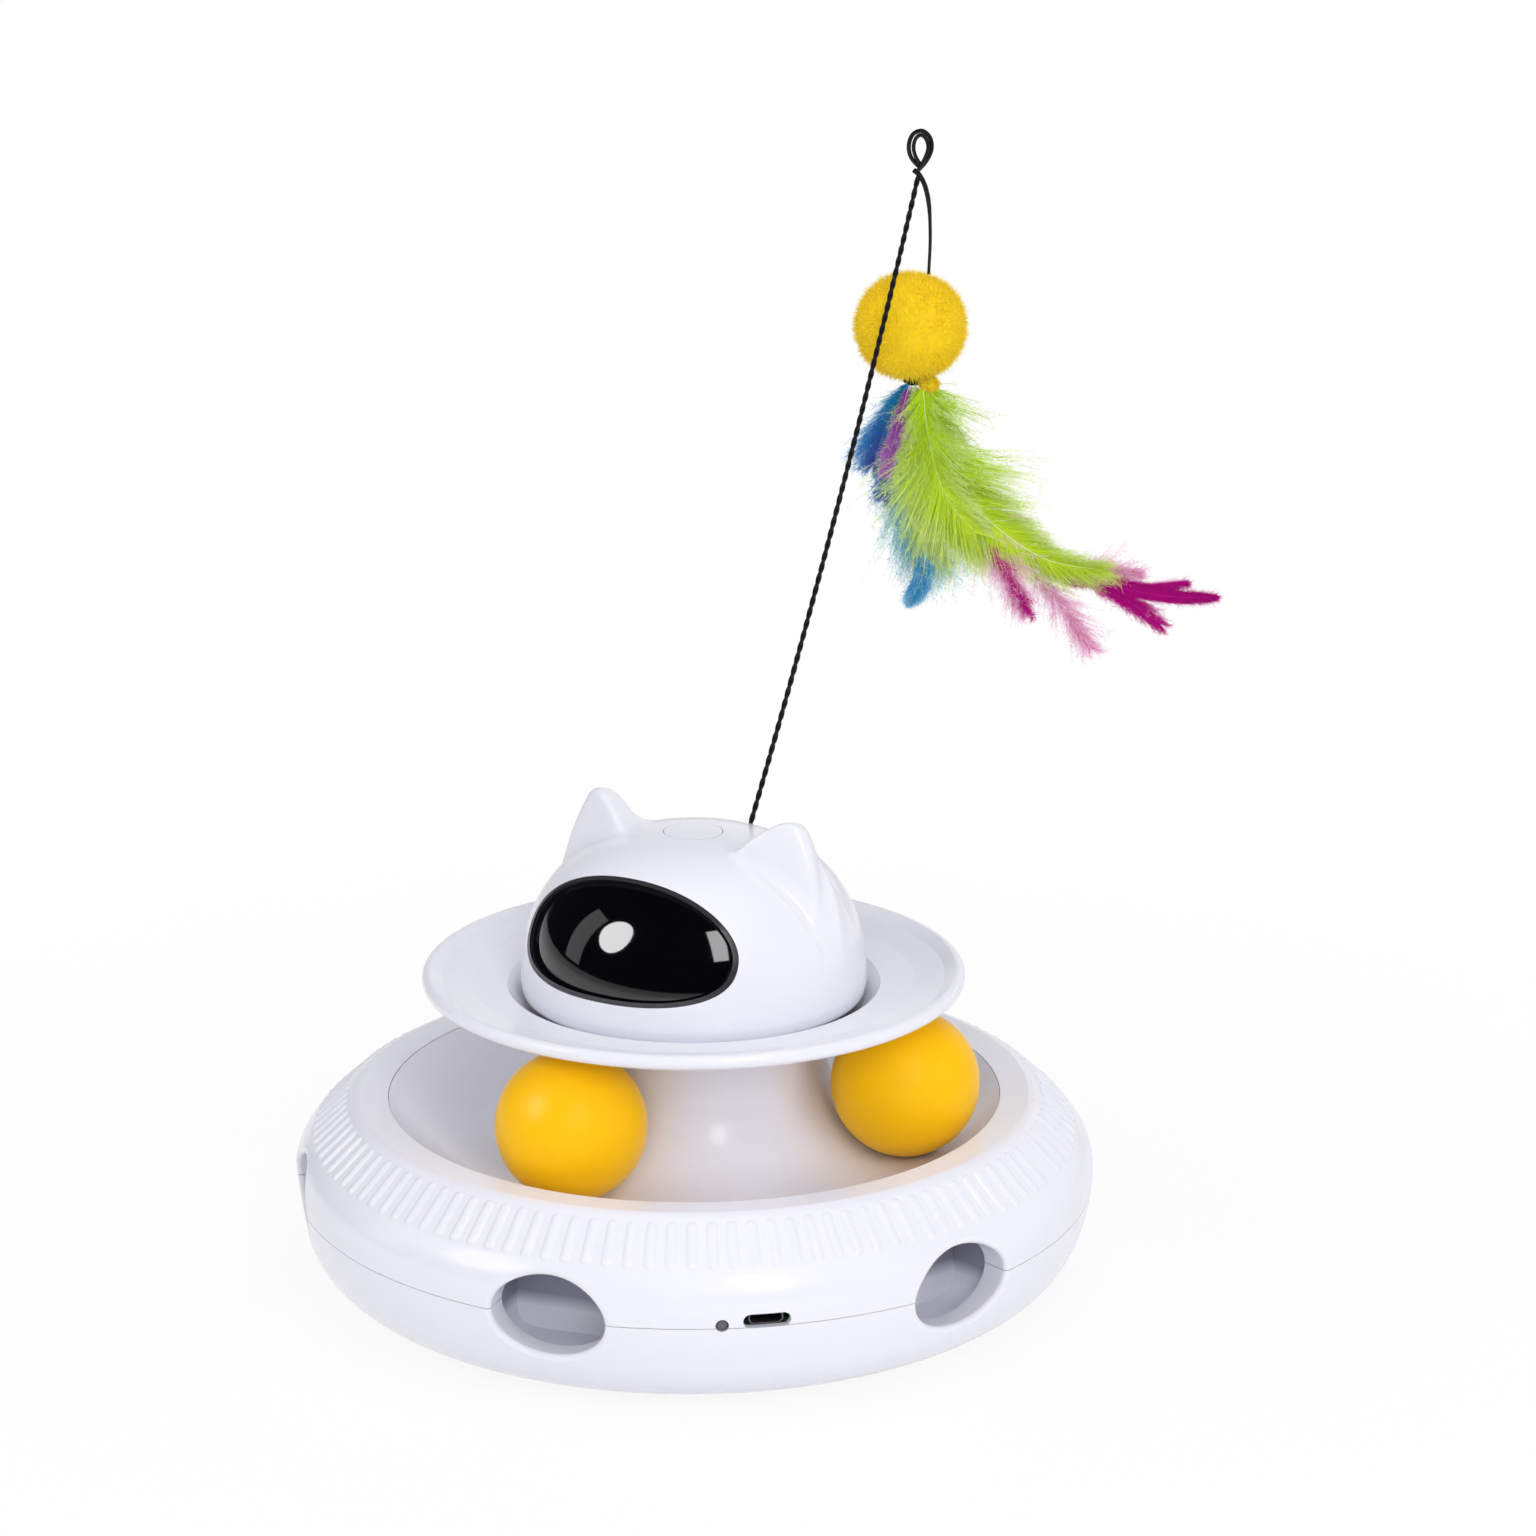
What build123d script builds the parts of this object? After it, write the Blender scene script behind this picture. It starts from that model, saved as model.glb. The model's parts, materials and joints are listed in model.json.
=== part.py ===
"""Automatic cat toy: a turning cat head with a laser and a wand lure, over a ball track and a domed base.

Millimetres, +Z up. The origin is on the turning axis, level with the soles of the feet. The front, -Y,
is where the cat face looks at rest. An azimuth is in degrees from the front towards +X.
"""
import os
from math import atan2, cos, degrees, hypot, pi, radians, sin, sqrt, tan

from build123d import *

os.makedirs("parts", exist_ok=True)

# ---------------------------------------------------------------- driving dimensions
wall = 2.2
seam_gap = 0.2
slip_fit = 0.15
run_fit = 0.05

# Base casing: a pebble of revolution, cut in two at the seam
base_radius = 109.0
base_widest_z = 31.0
base_floor_z = 1.5
side_radius = 45.0
corner_radius = 20.0
shoulder_radius = 13.4
shoulder_angle = 48.0
slope_length = 14.0
crest_radius = 4.5
lip_radius = 83.4
lip_drop = 0.5
lip_depth = 2.6
seam_z = 27.0
tongue_height = 2.5
tongue_thickness = 1.1

# Grip ribs on the slope
rib_count = 120
rib_proud = 0.55
rib_radius = 2.4
rib_length = 10.4

# Six side holes, each with a collar and a treat pocket behind it
hole_count = 6
hole_turn = 13.0
hole_width = 31.0
hole_height = 21.5
hole_rim = 1.2
collar_wall = 2.0
collar_inner_radius = 99.5
pocket_width = 34.0
pocket_back_radius = 86.0
pocket_floor_z = 14.0
pocket_roof_z = 40.0
pocket_wall = 1.6
pocket_corner = 5.0

# Balls and their track
ball_radius = 20.0
ball_wall = 1.4
track_radius = 60.0
track_gap = 0.3
ball_z = 59.7
ball_1_azimuth = 1.0
ball_2_azimuth = 104.0
bowl_outer_arc = 29.5
bowl_inner_arc = 24.0
bowl_wall = 2.0
bowl_flange_reach = 4.6
bowl_flange = 1.8
deck_post_radius = 3.6
deck_post_height = 9.0

# Saucer over the track, with the deck that carries the head
deck_z = 72.5
deck_wall = 2.0
well_foot_radius = 40.0
well_top_radius = 47.5
well_top_z = 79.0
saucer_hole_radius = 50.6
saucer_hole_z = 82.2
saucer_mid_radius = 60.0
saucer_mid_z = 83.0
saucer_edge_radius = 68.0
saucer_edge_z = 84.5
saucer_rim_radius = 71.5
saucer_rim_bead = 2.0

# Base screws, feet and posts
screw_radius = 1.4
screw_head_radius = 2.8
screw_head_height = 1.8
post_radius = 4.4
bowl_post_radius = 64.0
bowl_post_azimuths = (103.0, 163.0, 283.0, 343.0)
bowl_post_z = 24.0
ring_post_radius = 95.2
ring_post_turn = 44.9
head_seat_z = 12.0
ring_screw_top_z = 42.0
bowl_screw_top_z = 33.0
foot_radius = 7.0
foot_ring_radius = 76.0
foot_recess = 1.0
foot_count = 6
foot_edge = 0.6
pocket_foot_radius = 3.0

# Charging port and charge light
port_azimuth = 43.0
port_z = 28.8
port_slot_width = 12.2
port_slot_height = 3.8
port_width = 8.94
port_height = 3.26
port_depth = 7.35
port_recess = 2.1
port_mouth_radius = base_radius - port_recess
led_azimuth = 37.0
led_z = 27.9
led_radius = 1.65
led_length = 3.0
port_shell = 0.3
port_tongue_width = 6.7
port_tongue_height = 0.7
port_tongue_length = 4.5
board_width = 36.0
board_length = 32.0
board_thickness = 1.6
port_overhang = 2.5
board_front_radius = port_mouth_radius - port_overhang
board_screw_spread = 14.5
board_screw_radius = 1.0
board_screw_length = 8.0
board_post_radius = 2.5
battery_radius = 9.15
battery_length = 65.0
battery_azimuth = 223.0
battery_track = 60.0
battery_z = 15.0
holder_wall = 1.5
lead_radius = 0.9
lead_offset = 3.0
battery_edge = 0.8
battery_button = 1.0
holder_end_room = 2.0
board_screw_head = 1.4

# Head drive
gear_module = 0.8
gear_teeth = 40
pinion_teeth = 12
gear_height = 4.0
gear_z = 73.5
gear_backlash = 0.3
hub_radius = 5.0
hub_bore = 3.0
bush_wall = 2.2
bush_flange = 1.0
shaft_radius = 1.5
shaft_collar_radius = 3.5
bracket_screw_radius = 1.2
bracket_screw_spread = 12.5
bracket_thickness = 1.5
bush_drop = 3.0
clip_gap = 0.3
clip_thickness = 1.0
hub_flange_radius = 9.0
slip_radius = 6.0
slip_length = 14.0
gearbox_radius = 10.0
gearbox_length = 12.0
can_radius = 9.6
can_length = 21.0
can_edge = 1.0
can_boss = 1.5
shaft_depth = 7.5
shaft_end = 0.6
bracket_screw_end = 1.0
bracket_screw_head = 0.8
hub_end = 2.0
slip_plug = 3.0
slip_plug_rim = 1.2
slip_plug_height = 2.6
deck_screw_radius = 30.5
deck_screw_azimuths = (45.0, 135.0, 225.0, 315.0)

# Cat head
head_radius = 46.8
head_widest_z = 83.0
head_top_z = 124.6
head_rim_z = 79.6
head_rim_radius = 46.3
dome_side_handle = 27.5
dome_top_handle = 30.9
head_floor_z = 80.6
head_floor_thickness = 1.8
ear_front_y = -7.0
ear_depth = 13.0
ear_taper = 14.0
ear_fillet_from_z = 105.0
ear_edge = 2.6
head_rim_edge = 1.0
ear_outline = (
    (13.0, 112.0), (16.0, 121.5), (25.5, 130.6), (30.0, 132.6), (34.8, 131.2),
    (40.2, 121.0), (43.4, 108.0), (42.0, 98.0), (20.0, 98.0),
)
visor_points = 24
visor_half_width = 33.2
visor_half_height = 17.0
visor_squareness = 2.17
visor_pitch = 29.8
visor_aim_z = 82.5
bezel_wall = 1.1
bezel_depth = 4.6
lens_recess = 1.9
lens_thickness = 1.5
head_post_radius = 36.5
head_post_azimuths = (60.0, 120.0, 240.0, 300.0)
head_screw_length = 8.0
head_post_size = 3.4

# Button on the crown
button_radius = 7.9
button_gap = 0.2
button_travel = 0.6
button_flange = 1.4
button_depth = 7.6
plunger_height = 1.6
switch_size = 6.0
switch_height = 3.4
plunger_radius = 1.75
board_2_width = 30.0
board_2_depth = 14.0
board_2_post_inset = 2.0

# Laser in its tilting carrier
laser_pivot_y = -15.0
laser_pivot_z = 99.0
laser_radius = 3.0
laser_length = 14.0
carrier_width = 10.0
carrier_wall = 1.5
carrier_setback = 2.0
laser_lens_thickness = 1.0
ear_gap = 0.4
bracket_wall = 1.8
pivot_radius = 1.5
bracket_depth = 9.0
tilt_motor_size = 10.0
tilt_motor_length = 14.0

# Wand and lure
wand_foot_y = 28.3
wand_foot_z = 118.6
wand_tip_y = 116.1
wand_tip_z = 286.7
wand_bow = 2.6
wand_radius = 0.9
socket_radius = 3.2
socket_length = 13.0
socket_boss_wall = 1.6
eye_width = 7.4
eye_height = 10.5
eye_wire_radius = 0.75
lure_turn = 33.5
lure_y = 116.9
hanger_radius = 0.55
hanger_bow = 1.6
hanger_end_across = 2.4
knot_place = (-1.2, 117.9, 286.6)
knot_radius = 1.0
pompom_radius = 16.0
pompom_height = 30.0
pompom_across = -2.3
pompom_fullness = 0.55
pompom_z = 243.2
tie_radius = 5.4
tie_height = 2.6
feather_thickness = 0.8
feather_pitch = 1.6
feather_gap = 0.6


# ---------------------------------------------------------------- helpers
def spot(radius, azimuth, height=0.0):
    """Point at a distance from the axis, at an azimuth from the front."""
    turn = radians(azimuth)
    return Vector(radius * sin(turn), -radius * cos(turn), height)


def outward(radius, azimuth, height=0.0):
    """Plane that looks outwards at an azimuth: x runs level, y runs up."""
    turn = radians(azimuth)
    return Plane(spot(radius, azimuth, height), (cos(turn), sin(turn), 0), (sin(turn), -cos(turn), 0))


def save(piece, name):
    """Labels one finished piece and writes it as its own file."""
    piece.part.label = name
    export_step(piece.part, f"parts/{name}.step")


def polar(centre, radius, angle):
    """Point on a circle in a profile, with the angle in degrees."""
    return (centre[0] + radius * cos(radians(angle)), centre[1] + radius * sin(radians(angle)))


hole_azimuths = [hole_turn + 360 / hole_count * i for i in range(hole_count)]
ring_post_azimuths = [hole_turn + ring_post_turn + 360 / hole_count * i for i in range(hole_count)]
foot_azimuths = [hole_turn + 360 / foot_count * i for i in range(foot_count)]
foot_places = [spot(0, 0)] + [spot(foot_ring_radius, azimuth) for azimuth in foot_azimuths]


# ---------------------------------------------------------------- base casing
side_centre = (base_radius - side_radius, base_widest_z)
corner_centre_z = base_floor_z + corner_radius
corner_drop = base_widest_z - corner_centre_z
corner_centre = (side_centre[0] + sqrt((side_radius - corner_radius) ** 2 - corner_drop**2), corner_centre_z)
side_low_angle = degrees(atan2(-corner_drop, corner_centre[0] - side_centre[0]))
shoulder_centre = (base_radius - shoulder_radius, base_widest_z)
slope_foot = polar(shoulder_centre, shoulder_radius, shoulder_angle)
slope_top = polar(slope_foot, slope_length, 90 + shoulder_angle)
crest_centre = polar(slope_top, -crest_radius, shoulder_angle)
crest_z = crest_centre[1] + crest_radius
lip_z = crest_z - lip_drop


def casing_section(inset):
    """Closed half section of the casing, every wall moved in by the inset."""
    low = (corner_centre[0], base_floor_z + inset)
    crest = (crest_centre[0], crest_z - inset)
    lip = (lip_radius + inset, lip_z - inset)
    with BuildSketch(Plane.XZ) as section:
        with BuildLine():
            Line((0, low[1]), low)
            corner = ThreePointArc(
                low,
                polar(corner_centre, corner_radius - inset, (side_low_angle - 90) / 2),
                polar(corner_centre, corner_radius - inset, side_low_angle),
            )
            side = ThreePointArc(
                corner @ 1,
                polar(side_centre, side_radius - inset, side_low_angle / 2),
                (base_radius - inset, base_widest_z),
            )
            shoulder = ThreePointArc(
                side @ 1,
                polar(shoulder_centre, shoulder_radius - inset, shoulder_angle / 2),
                polar(shoulder_centre, shoulder_radius - inset, shoulder_angle),
            )
            slope = Line(shoulder @ 1, polar(crest_centre, crest_radius - inset, shoulder_angle))
            ThreePointArc(
                slope @ 1,
                polar(crest_centre, crest_radius - inset, (90 + shoulder_angle) / 2),
                crest,
            )
            Polyline(crest, lip, (lip[0], lip_z - lip_depth), (0, lip_z - lip_depth), (0, low[1]))
        make_face()
    return section.sketch


port_board_z = port_z - port_height / 2
board_middle_radius = board_front_radius - board_length / 2
board_screw_spots = [
    spot(board_middle_radius, port_azimuth) + outward(0, port_azimuth).x_dir * side * board_screw_spread
    for side in (-1, 1)
]


# The outside of the casing, solid, with the six side holes sunk into it
with BuildPart() as pebble:
    add(casing_section(0))
    revolve(axis=Axis.Z)
    for azimuth in hole_azimuths:
        with BuildSketch(outward(collar_inner_radius - 1, azimuth, seam_z)):
            Ellipse(hole_width / 2, hole_height / 2)
        extrude(amount=base_radius, mode=Mode.SUBTRACT)
    rims = pebble.edges().filter_by(lambda edge: edge.geom_type == GeomType.BSPLINE)
    rims = rims.filter_by(lambda edge: hypot(edge.center().X, edge.center().Y) > collar_inner_radius + 3)
    fillet(rims, hole_rim)

with BuildPart() as collars_and_posts:
    for azimuth in hole_azimuths:
        with BuildSketch(outward(collar_inner_radius, azimuth, seam_z)):
            Ellipse(hole_width / 2 + collar_wall, hole_height / 2 + collar_wall)
        extrude(amount=base_radius - collar_inner_radius)
    with BuildSketch(Plane.XY.offset(base_floor_z)):
        for azimuth in ring_post_azimuths:
            with Locations(spot(ring_post_radius, azimuth)):
                Circle(post_radius)
    extrude(amount=crest_z)
    with BuildSketch(Plane.XY.offset(base_floor_z)):
        for azimuth in bowl_post_azimuths:
            with Locations(spot(bowl_post_radius, azimuth)):
                Circle(post_radius)
    extrude(amount=bowl_post_z - base_floor_z)
    with BuildSketch(Plane.XY.offset(base_floor_z)):
        with Locations(*board_screw_spots):
            Circle(board_post_radius)
    extrude(amount=port_board_z - board_thickness - base_floor_z)

# The room inside the casing, with the hole collars and the screw posts left standing
with BuildPart() as cavity:
    add(casing_section(wall))
    revolve(axis=Axis.Z)
    add(collars_and_posts.part, mode=Mode.SUBTRACT)

# One rib is a pill that lies along the slope, sunk until only its back stands proud
slope_middle = ((slope_foot[0] + slope_top[0]) / 2, (slope_foot[1] + slope_top[1]) / 2)
rib_middle = polar(slope_middle, rib_proud - rib_radius, shoulder_angle)
slope_run = (slope_top[0] - slope_foot[0], 0, slope_top[1] - slope_foot[1])
with BuildPart(Plane((rib_middle[0], 0, rib_middle[1]), (0, 1, 0), slope_run)) as rib:
    Cylinder(rib_radius, rib_length)
    with Locations((0, 0, rib_length / 2), (0, 0, -rib_length / 2)):
        Sphere(rib_radius)
rib_floor = polar(slope_middle, -wall / 2, shoulder_angle)
with BuildPart() as rib_back:
    add(rib.part)
    split(bisect_by=Plane((rib_floor[0], 0, rib_floor[1]), slope_run, (-slope_run[2], 0, slope_run[0])),
          keep=Keep.BOTTOM)

# Everything that is bored through the casing: the port, the light and the screw holes from below
with BuildPart() as bores:
    with BuildSketch(outward(port_mouth_radius - 3, port_azimuth, port_z)):
        SlotOverall(port_slot_width, port_slot_height)
    extrude(amount=base_radius - port_mouth_radius + 6)
    with BuildSketch(outward(port_mouth_radius - 6, led_azimuth, led_z)):
        Circle(led_radius + run_fit)
    extrude(amount=base_radius - port_mouth_radius + 9)
    for radius, azimuths, top_z in (
        (ring_post_radius, ring_post_azimuths, ring_screw_top_z),
        (bowl_post_radius, bowl_post_azimuths, bowl_post_z),
    ):
        for azimuth in azimuths:
            with Locations(spot(radius, azimuth)):
                Cylinder(screw_head_radius + slip_fit, head_seat_z,
                         align=(Align.CENTER, Align.CENTER, Align.MIN))
                Cylinder(screw_radius, top_z, align=(Align.CENTER, Align.CENTER, Align.MIN))
    with Locations(*[place + Vector(0, 0, port_board_z) for place in board_screw_spots]):
        Cylinder(board_screw_radius, board_screw_length + board_thickness,
                 align=(Align.CENTER, Align.CENTER, Align.MAX))

with BuildPart() as casing:
    add(pebble.part)
    add(cavity.part, mode=Mode.SUBTRACT)
    add(bores.part, mode=Mode.SUBTRACT)


def seam_tongue(clearance):
    """Locating tongue along the seam, left out where the hole collars and the port cross it."""
    root = base_radius - wall - tongue_thickness / 2
    with BuildPart() as tongue:
        with BuildSketch(Plane.XZ):
            with Locations((root - clearance, seam_z - tongue_height)):
                Rectangle(
                    1.5 * tongue_thickness + 2 * clearance,
                    2 * tongue_height + clearance,
                    align=(Align.MIN, Align.MIN),
                )
        revolve(axis=Axis.Z)
        for azimuth in hole_azimuths:
            with BuildSketch(outward(collar_inner_radius, azimuth, seam_z)):
                Rectangle(hole_width + 2 * collar_wall + 2 - 2 * clearance, hole_height)
            extrude(amount=base_radius, mode=Mode.SUBTRACT)
        with BuildSketch(outward(collar_inner_radius, port_azimuth, seam_z)):
            Rectangle(board_width - 2 * clearance, hole_height)
        extrude(amount=base_radius, mode=Mode.SUBTRACT)
    return tongue.part


with BuildPart() as base_lower_shell:
    add(casing.part)
    split(bisect_by=Plane.XY.offset(seam_z), keep=Keep.BOTTOM)
    add(seam_tongue(0))
    with Locations(*foot_places):
        Cylinder(foot_radius + slip_fit, base_floor_z + foot_recess, mode=Mode.SUBTRACT,
                 align=(Align.CENTER, Align.CENTER, Align.MIN))
save(base_lower_shell, "base_lower_shell")

with BuildPart() as base_ring:
    add(casing.part)
    split(bisect_by=Plane.XY.offset(seam_z + seam_gap), keep=Keep.TOP)
    add(seam_tongue(slip_fit), mode=Mode.SUBTRACT)
    with PolarLocations(0, rib_count):
        add(rib_back.part, clean=False)
save(base_ring, "base_ring")



# ---------------------------------------------------------------- bowl, saucer and what sits in the base
bowl_lip_radius = lip_radius - slip_fit
track_floor_z = ball_z - ball_radius - track_gap
outer_arc_centre = (track_radius, track_floor_z + bowl_outer_arc)
inner_arc_centre = (track_radius, track_floor_z + bowl_inner_arc)
column_radius = track_radius - bowl_inner_arc
column_top_z = deck_z - deck_wall
bowl_lip_z = outer_arc_centre[1] - sqrt(bowl_outer_arc**2 - (bowl_lip_radius - track_radius) ** 2)
flange_top_z = lip_z - lip_depth - slip_fit
flange_low_z = flange_top_z - bowl_flange
outside_arc = bowl_outer_arc + bowl_wall
flange_root = track_radius + sqrt(outside_arc**2 - (outer_arc_centre[1] - flange_low_z) ** 2)
lip_angle = degrees(atan2(bowl_lip_z - outer_arc_centre[1], bowl_lip_radius - track_radius))
flange_angle = degrees(atan2(flange_low_z - outer_arc_centre[1], flange_root - track_radius))
inside_arc = bowl_inner_arc + bowl_wall

with BuildPart() as track_bowl:
    with BuildSketch(Plane.XZ):
        with BuildLine():
            track = ThreePointArc(
                (bowl_lip_radius, bowl_lip_z),
                polar(outer_arc_centre, bowl_outer_arc, (lip_angle - 90) / 2),
                (track_radius, track_floor_z),
            )
            flare = ThreePointArc(
                track @ 1,
                polar(inner_arc_centre, bowl_inner_arc, 225),
                (column_radius, inner_arc_centre[1]),
            )
            column = Polyline(
                flare @ 1,
                (column_radius, column_top_z),
                (column_radius - bowl_wall, column_top_z),
                (column_radius - bowl_wall, inner_arc_centre[1]),
            )
            under_flare = ThreePointArc(
                column @ 1,
                polar(inner_arc_centre, inside_arc, 225),
                (track_radius, track_floor_z - bowl_wall),
            )
            under_track = ThreePointArc(
                under_flare @ 1,
                polar(outer_arc_centre, outside_arc, (flange_angle - 90) / 2),
                (flange_root, flange_low_z),
            )
            Polyline(
                under_track @ 1,
                (bowl_lip_radius + bowl_flange_reach, flange_low_z),
                (bowl_lip_radius + bowl_flange_reach, flange_top_z),
                (bowl_lip_radius, flange_top_z),
                (bowl_lip_radius, bowl_lip_z),
            )
        make_face()
    revolve(axis=Axis.Z)
    for azimuth in deck_screw_azimuths:
        with Locations(spot(deck_screw_radius, azimuth, column_top_z)):
            Cylinder(deck_post_radius, deck_post_height, align=(Align.CENTER, Align.CENTER, Align.MAX))
    for azimuth in bowl_post_azimuths:
        with BuildSketch(Plane.XY.offset(bowl_post_z)):
            with Locations(spot(bowl_post_radius, azimuth)):
                Circle(post_radius)
        extrude(amount=track_floor_z - bowl_post_z - bowl_wall / 2)
        with BuildSketch(Plane.XY.offset(bowl_post_z)):
            with Locations(spot(bowl_post_radius, azimuth)):
                Circle(screw_radius)
        extrude(amount=bowl_screw_top_z - bowl_post_z, mode=Mode.SUBTRACT)
    for azimuth in deck_screw_azimuths:
        with Locations(spot(deck_screw_radius, azimuth, column_top_z)):
            Cylinder(screw_radius, deck_post_height - 1, mode=Mode.SUBTRACT,
                     align=(Align.CENTER, Align.CENTER, Align.MAX))
save(track_bowl, "track_bowl")

motor_place = spot((gear_teeth + pinion_teeth) * gear_module / 2, 180)
bush_radius = hub_radius + bush_wall
with BuildPart() as saucer:
    with BuildSketch(Plane.XZ):
        with BuildLine():
            top = Polyline(
                (bush_radius, deck_z),
                (well_foot_radius, deck_z),
                (well_top_radius, well_top_z),
                (saucer_hole_radius, saucer_hole_z),
                (saucer_mid_radius, saucer_mid_z),
                (saucer_edge_radius, saucer_edge_z),
                (saucer_rim_radius - 0.3 * saucer_rim_bead, saucer_edge_z + 0.95 * saucer_rim_bead),
            )
            bead = ThreePointArc(
                top @ 1,
                (saucer_rim_radius + saucer_rim_bead, saucer_edge_z),
                (saucer_rim_radius - 0.3 * saucer_rim_bead, saucer_edge_z - 0.95 * saucer_rim_bead),
            )
            Polyline(
                bead @ 1,
                (saucer_mid_radius, saucer_mid_z - 1.1 * deck_wall),
                (saucer_hole_radius + 1.2, saucer_hole_z - deck_wall),
                (well_top_radius + 0.65 * deck_wall, well_top_z - 0.75 * deck_wall),
                (well_foot_radius + 0.65 * deck_wall - 0.3, deck_z - deck_wall),
                (bush_radius, deck_z - deck_wall),
                (bush_radius, deck_z),
            )
        make_face()
    revolve(axis=Axis.Z)
    with Locations(motor_place + Vector(0, 0, deck_z)):
        Cylinder(shaft_collar_radius + slip_fit, 4 * deck_wall, mode=Mode.SUBTRACT)
    for azimuth in deck_screw_azimuths:
        with Locations(spot(deck_screw_radius, azimuth, deck_z)):
            Cylinder(screw_radius, 4 * deck_wall, mode=Mode.SUBTRACT)
    for side in (-1, 1):
        with Locations(motor_place + Vector(side * bracket_screw_spread, 0, deck_z)):
            Cylinder(bracket_screw_radius, 4 * deck_wall, mode=Mode.SUBTRACT)
save(saucer, "saucer")

pocket_front_radius = collar_inner_radius
with BuildPart() as treat_pockets:
    for azimuth in hole_azimuths:
        middle_z = (pocket_floor_z + pocket_roof_z) / 2
        height = pocket_roof_z - pocket_floor_z
        with BuildSketch(outward(pocket_back_radius - pocket_wall, azimuth, middle_z)):
            RectangleRounded(
                pocket_width + 2 * pocket_wall, height + 2 * pocket_wall, pocket_corner + pocket_wall
            )
        extrude(amount=pocket_front_radius - pocket_back_radius + pocket_wall)
        with BuildSketch(outward(pocket_back_radius, azimuth, middle_z)):
            RectangleRounded(pocket_width, height, pocket_corner)
        extrude(amount=pocket_front_radius - pocket_back_radius, mode=Mode.SUBTRACT)
        with BuildSketch(Plane.XY.offset(base_floor_z + wall)):
            with Locations(spot(corner_centre[0] - pocket_foot_radius - slip_fit, azimuth)):
                Circle(pocket_foot_radius)
        extrude(amount=pocket_floor_z - pocket_wall / 2 - base_floor_z - wall)
save(treat_pockets, "treat_pockets")

with BuildPart() as rubber_feet:
    with Locations(*foot_places):
        Cylinder(foot_radius, base_floor_z + foot_recess, align=(Align.CENTER, Align.CENTER, Align.MIN))
    soles = rubber_feet.edges().filter_by(Plane.XY).group_by(Axis.Z)[0]
    fillet(soles, foot_edge)
save(rubber_feet, "rubber_feet")


def screw(place, length, head_up=True):
    """Pan head screw with a cross recess; the place is under the head."""
    sense = 1 if head_up else -1
    with BuildPart() as body:
        Cylinder(screw_radius, length, align=(Align.CENTER, Align.CENTER, Align.MAX))
        Cylinder(screw_head_radius, screw_head_height, align=(Align.CENTER, Align.CENTER, Align.MIN))
        fillet(body.faces().sort_by(Axis.Z)[-1].edges(), screw_head_height / 3)
        with Locations((0, 0, screw_head_height)):
            for turn in (0, 90):
                Box(screw_head_radius, screw_head_radius / 4, screw_head_height, mode=Mode.SUBTRACT,
                    rotation=(0, 0, turn))
    return body.part.moved(Location(place, (0 if sense > 0 else 180, 0, 0)))


with BuildPart() as base_screws:
    for azimuth in ring_post_azimuths:
        add(screw(spot(ring_post_radius, azimuth, head_seat_z), ring_screw_top_z - head_seat_z, False))
    for azimuth in bowl_post_azimuths:
        add(screw(spot(bowl_post_radius, azimuth, head_seat_z), bowl_screw_top_z - head_seat_z, False))
save(base_screws, "base_screws")

with BuildPart() as saucer_screws:
    for azimuth in deck_screw_azimuths:
        add(screw(spot(deck_screw_radius, azimuth, deck_z), deck_post_height))
save(saucer_screws, "saucer_screws")


# ---------------------------------------------------------------- electrics in the base
with BuildPart() as main_board:
    board_back = outward(board_front_radius - board_length, port_azimuth, port_board_z - board_thickness / 2)
    with BuildSketch(board_back):
        Rectangle(board_width, board_thickness)
    extrude(amount=board_length)
    with BuildSketch(Plane.XY.offset(port_board_z)):
        with Locations(*board_screw_spots):
            Circle(board_screw_radius)
    extrude(amount=-board_thickness, mode=Mode.SUBTRACT)
save(main_board, "main_board")


def on_board(radius, across, width, depth, height):
    """A square component that stands on the main board."""
    with BuildPart() as chip:
        with BuildSketch(outward(radius - depth / 2, port_azimuth, port_board_z + height / 2)):
            with Locations((across, 0)):
                Rectangle(width, height)
        extrude(amount=depth)
    return chip.part


with BuildPart() as board_parts:
    add(on_board(board_middle_radius - 8, 0, 9, 9, 1.4))
    add(on_board(board_middle_radius - 1, -10, 5, 5, 2.6))
    add(on_board(board_middle_radius + 8, -11, 6, 4, 2.0))
    add(on_board(board_middle_radius - 11, -12, 8, 4, 4.5))
    add(on_board(board_middle_radius - 11, 12, 8, 4, 4.5))
    for across in (8, 11, 14):
        add(on_board(board_middle_radius + 9, across, 1.2, 2.0, 1.0))
save(board_parts, "board_parts")

with BuildPart() as board_screws:
    with Locations(*[place + Vector(0, 0, port_board_z) for place in board_screw_spots]):
        Cylinder(board_screw_radius, board_screw_length + board_thickness,
                 align=(Align.CENTER, Align.CENTER, Align.MAX))
        Cylinder(2 * board_screw_radius, board_screw_head, align=(Align.CENTER, Align.CENTER, Align.MIN))
save(board_screws, "board_screws")

with BuildPart() as usb_port:
    with BuildSketch(outward(port_mouth_radius - port_depth, port_azimuth, port_z)):
        SlotOverall(port_width, port_height)
    extrude(amount=port_depth)
    with BuildSketch(outward(port_mouth_radius, port_azimuth, port_z)):
        SlotOverall(port_width - 2 * port_shell, port_height - 2 * port_shell)
    extrude(amount=-(port_depth - port_shell), mode=Mode.SUBTRACT)
save(usb_port, "usb_port")

with BuildPart() as usb_tongue:
    with BuildSketch(outward(port_mouth_radius - port_depth + port_shell, port_azimuth, port_z)):
        Rectangle(port_tongue_width, port_tongue_height)
    extrude(amount=port_tongue_length)
save(usb_tongue, "usb_tongue")

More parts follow.
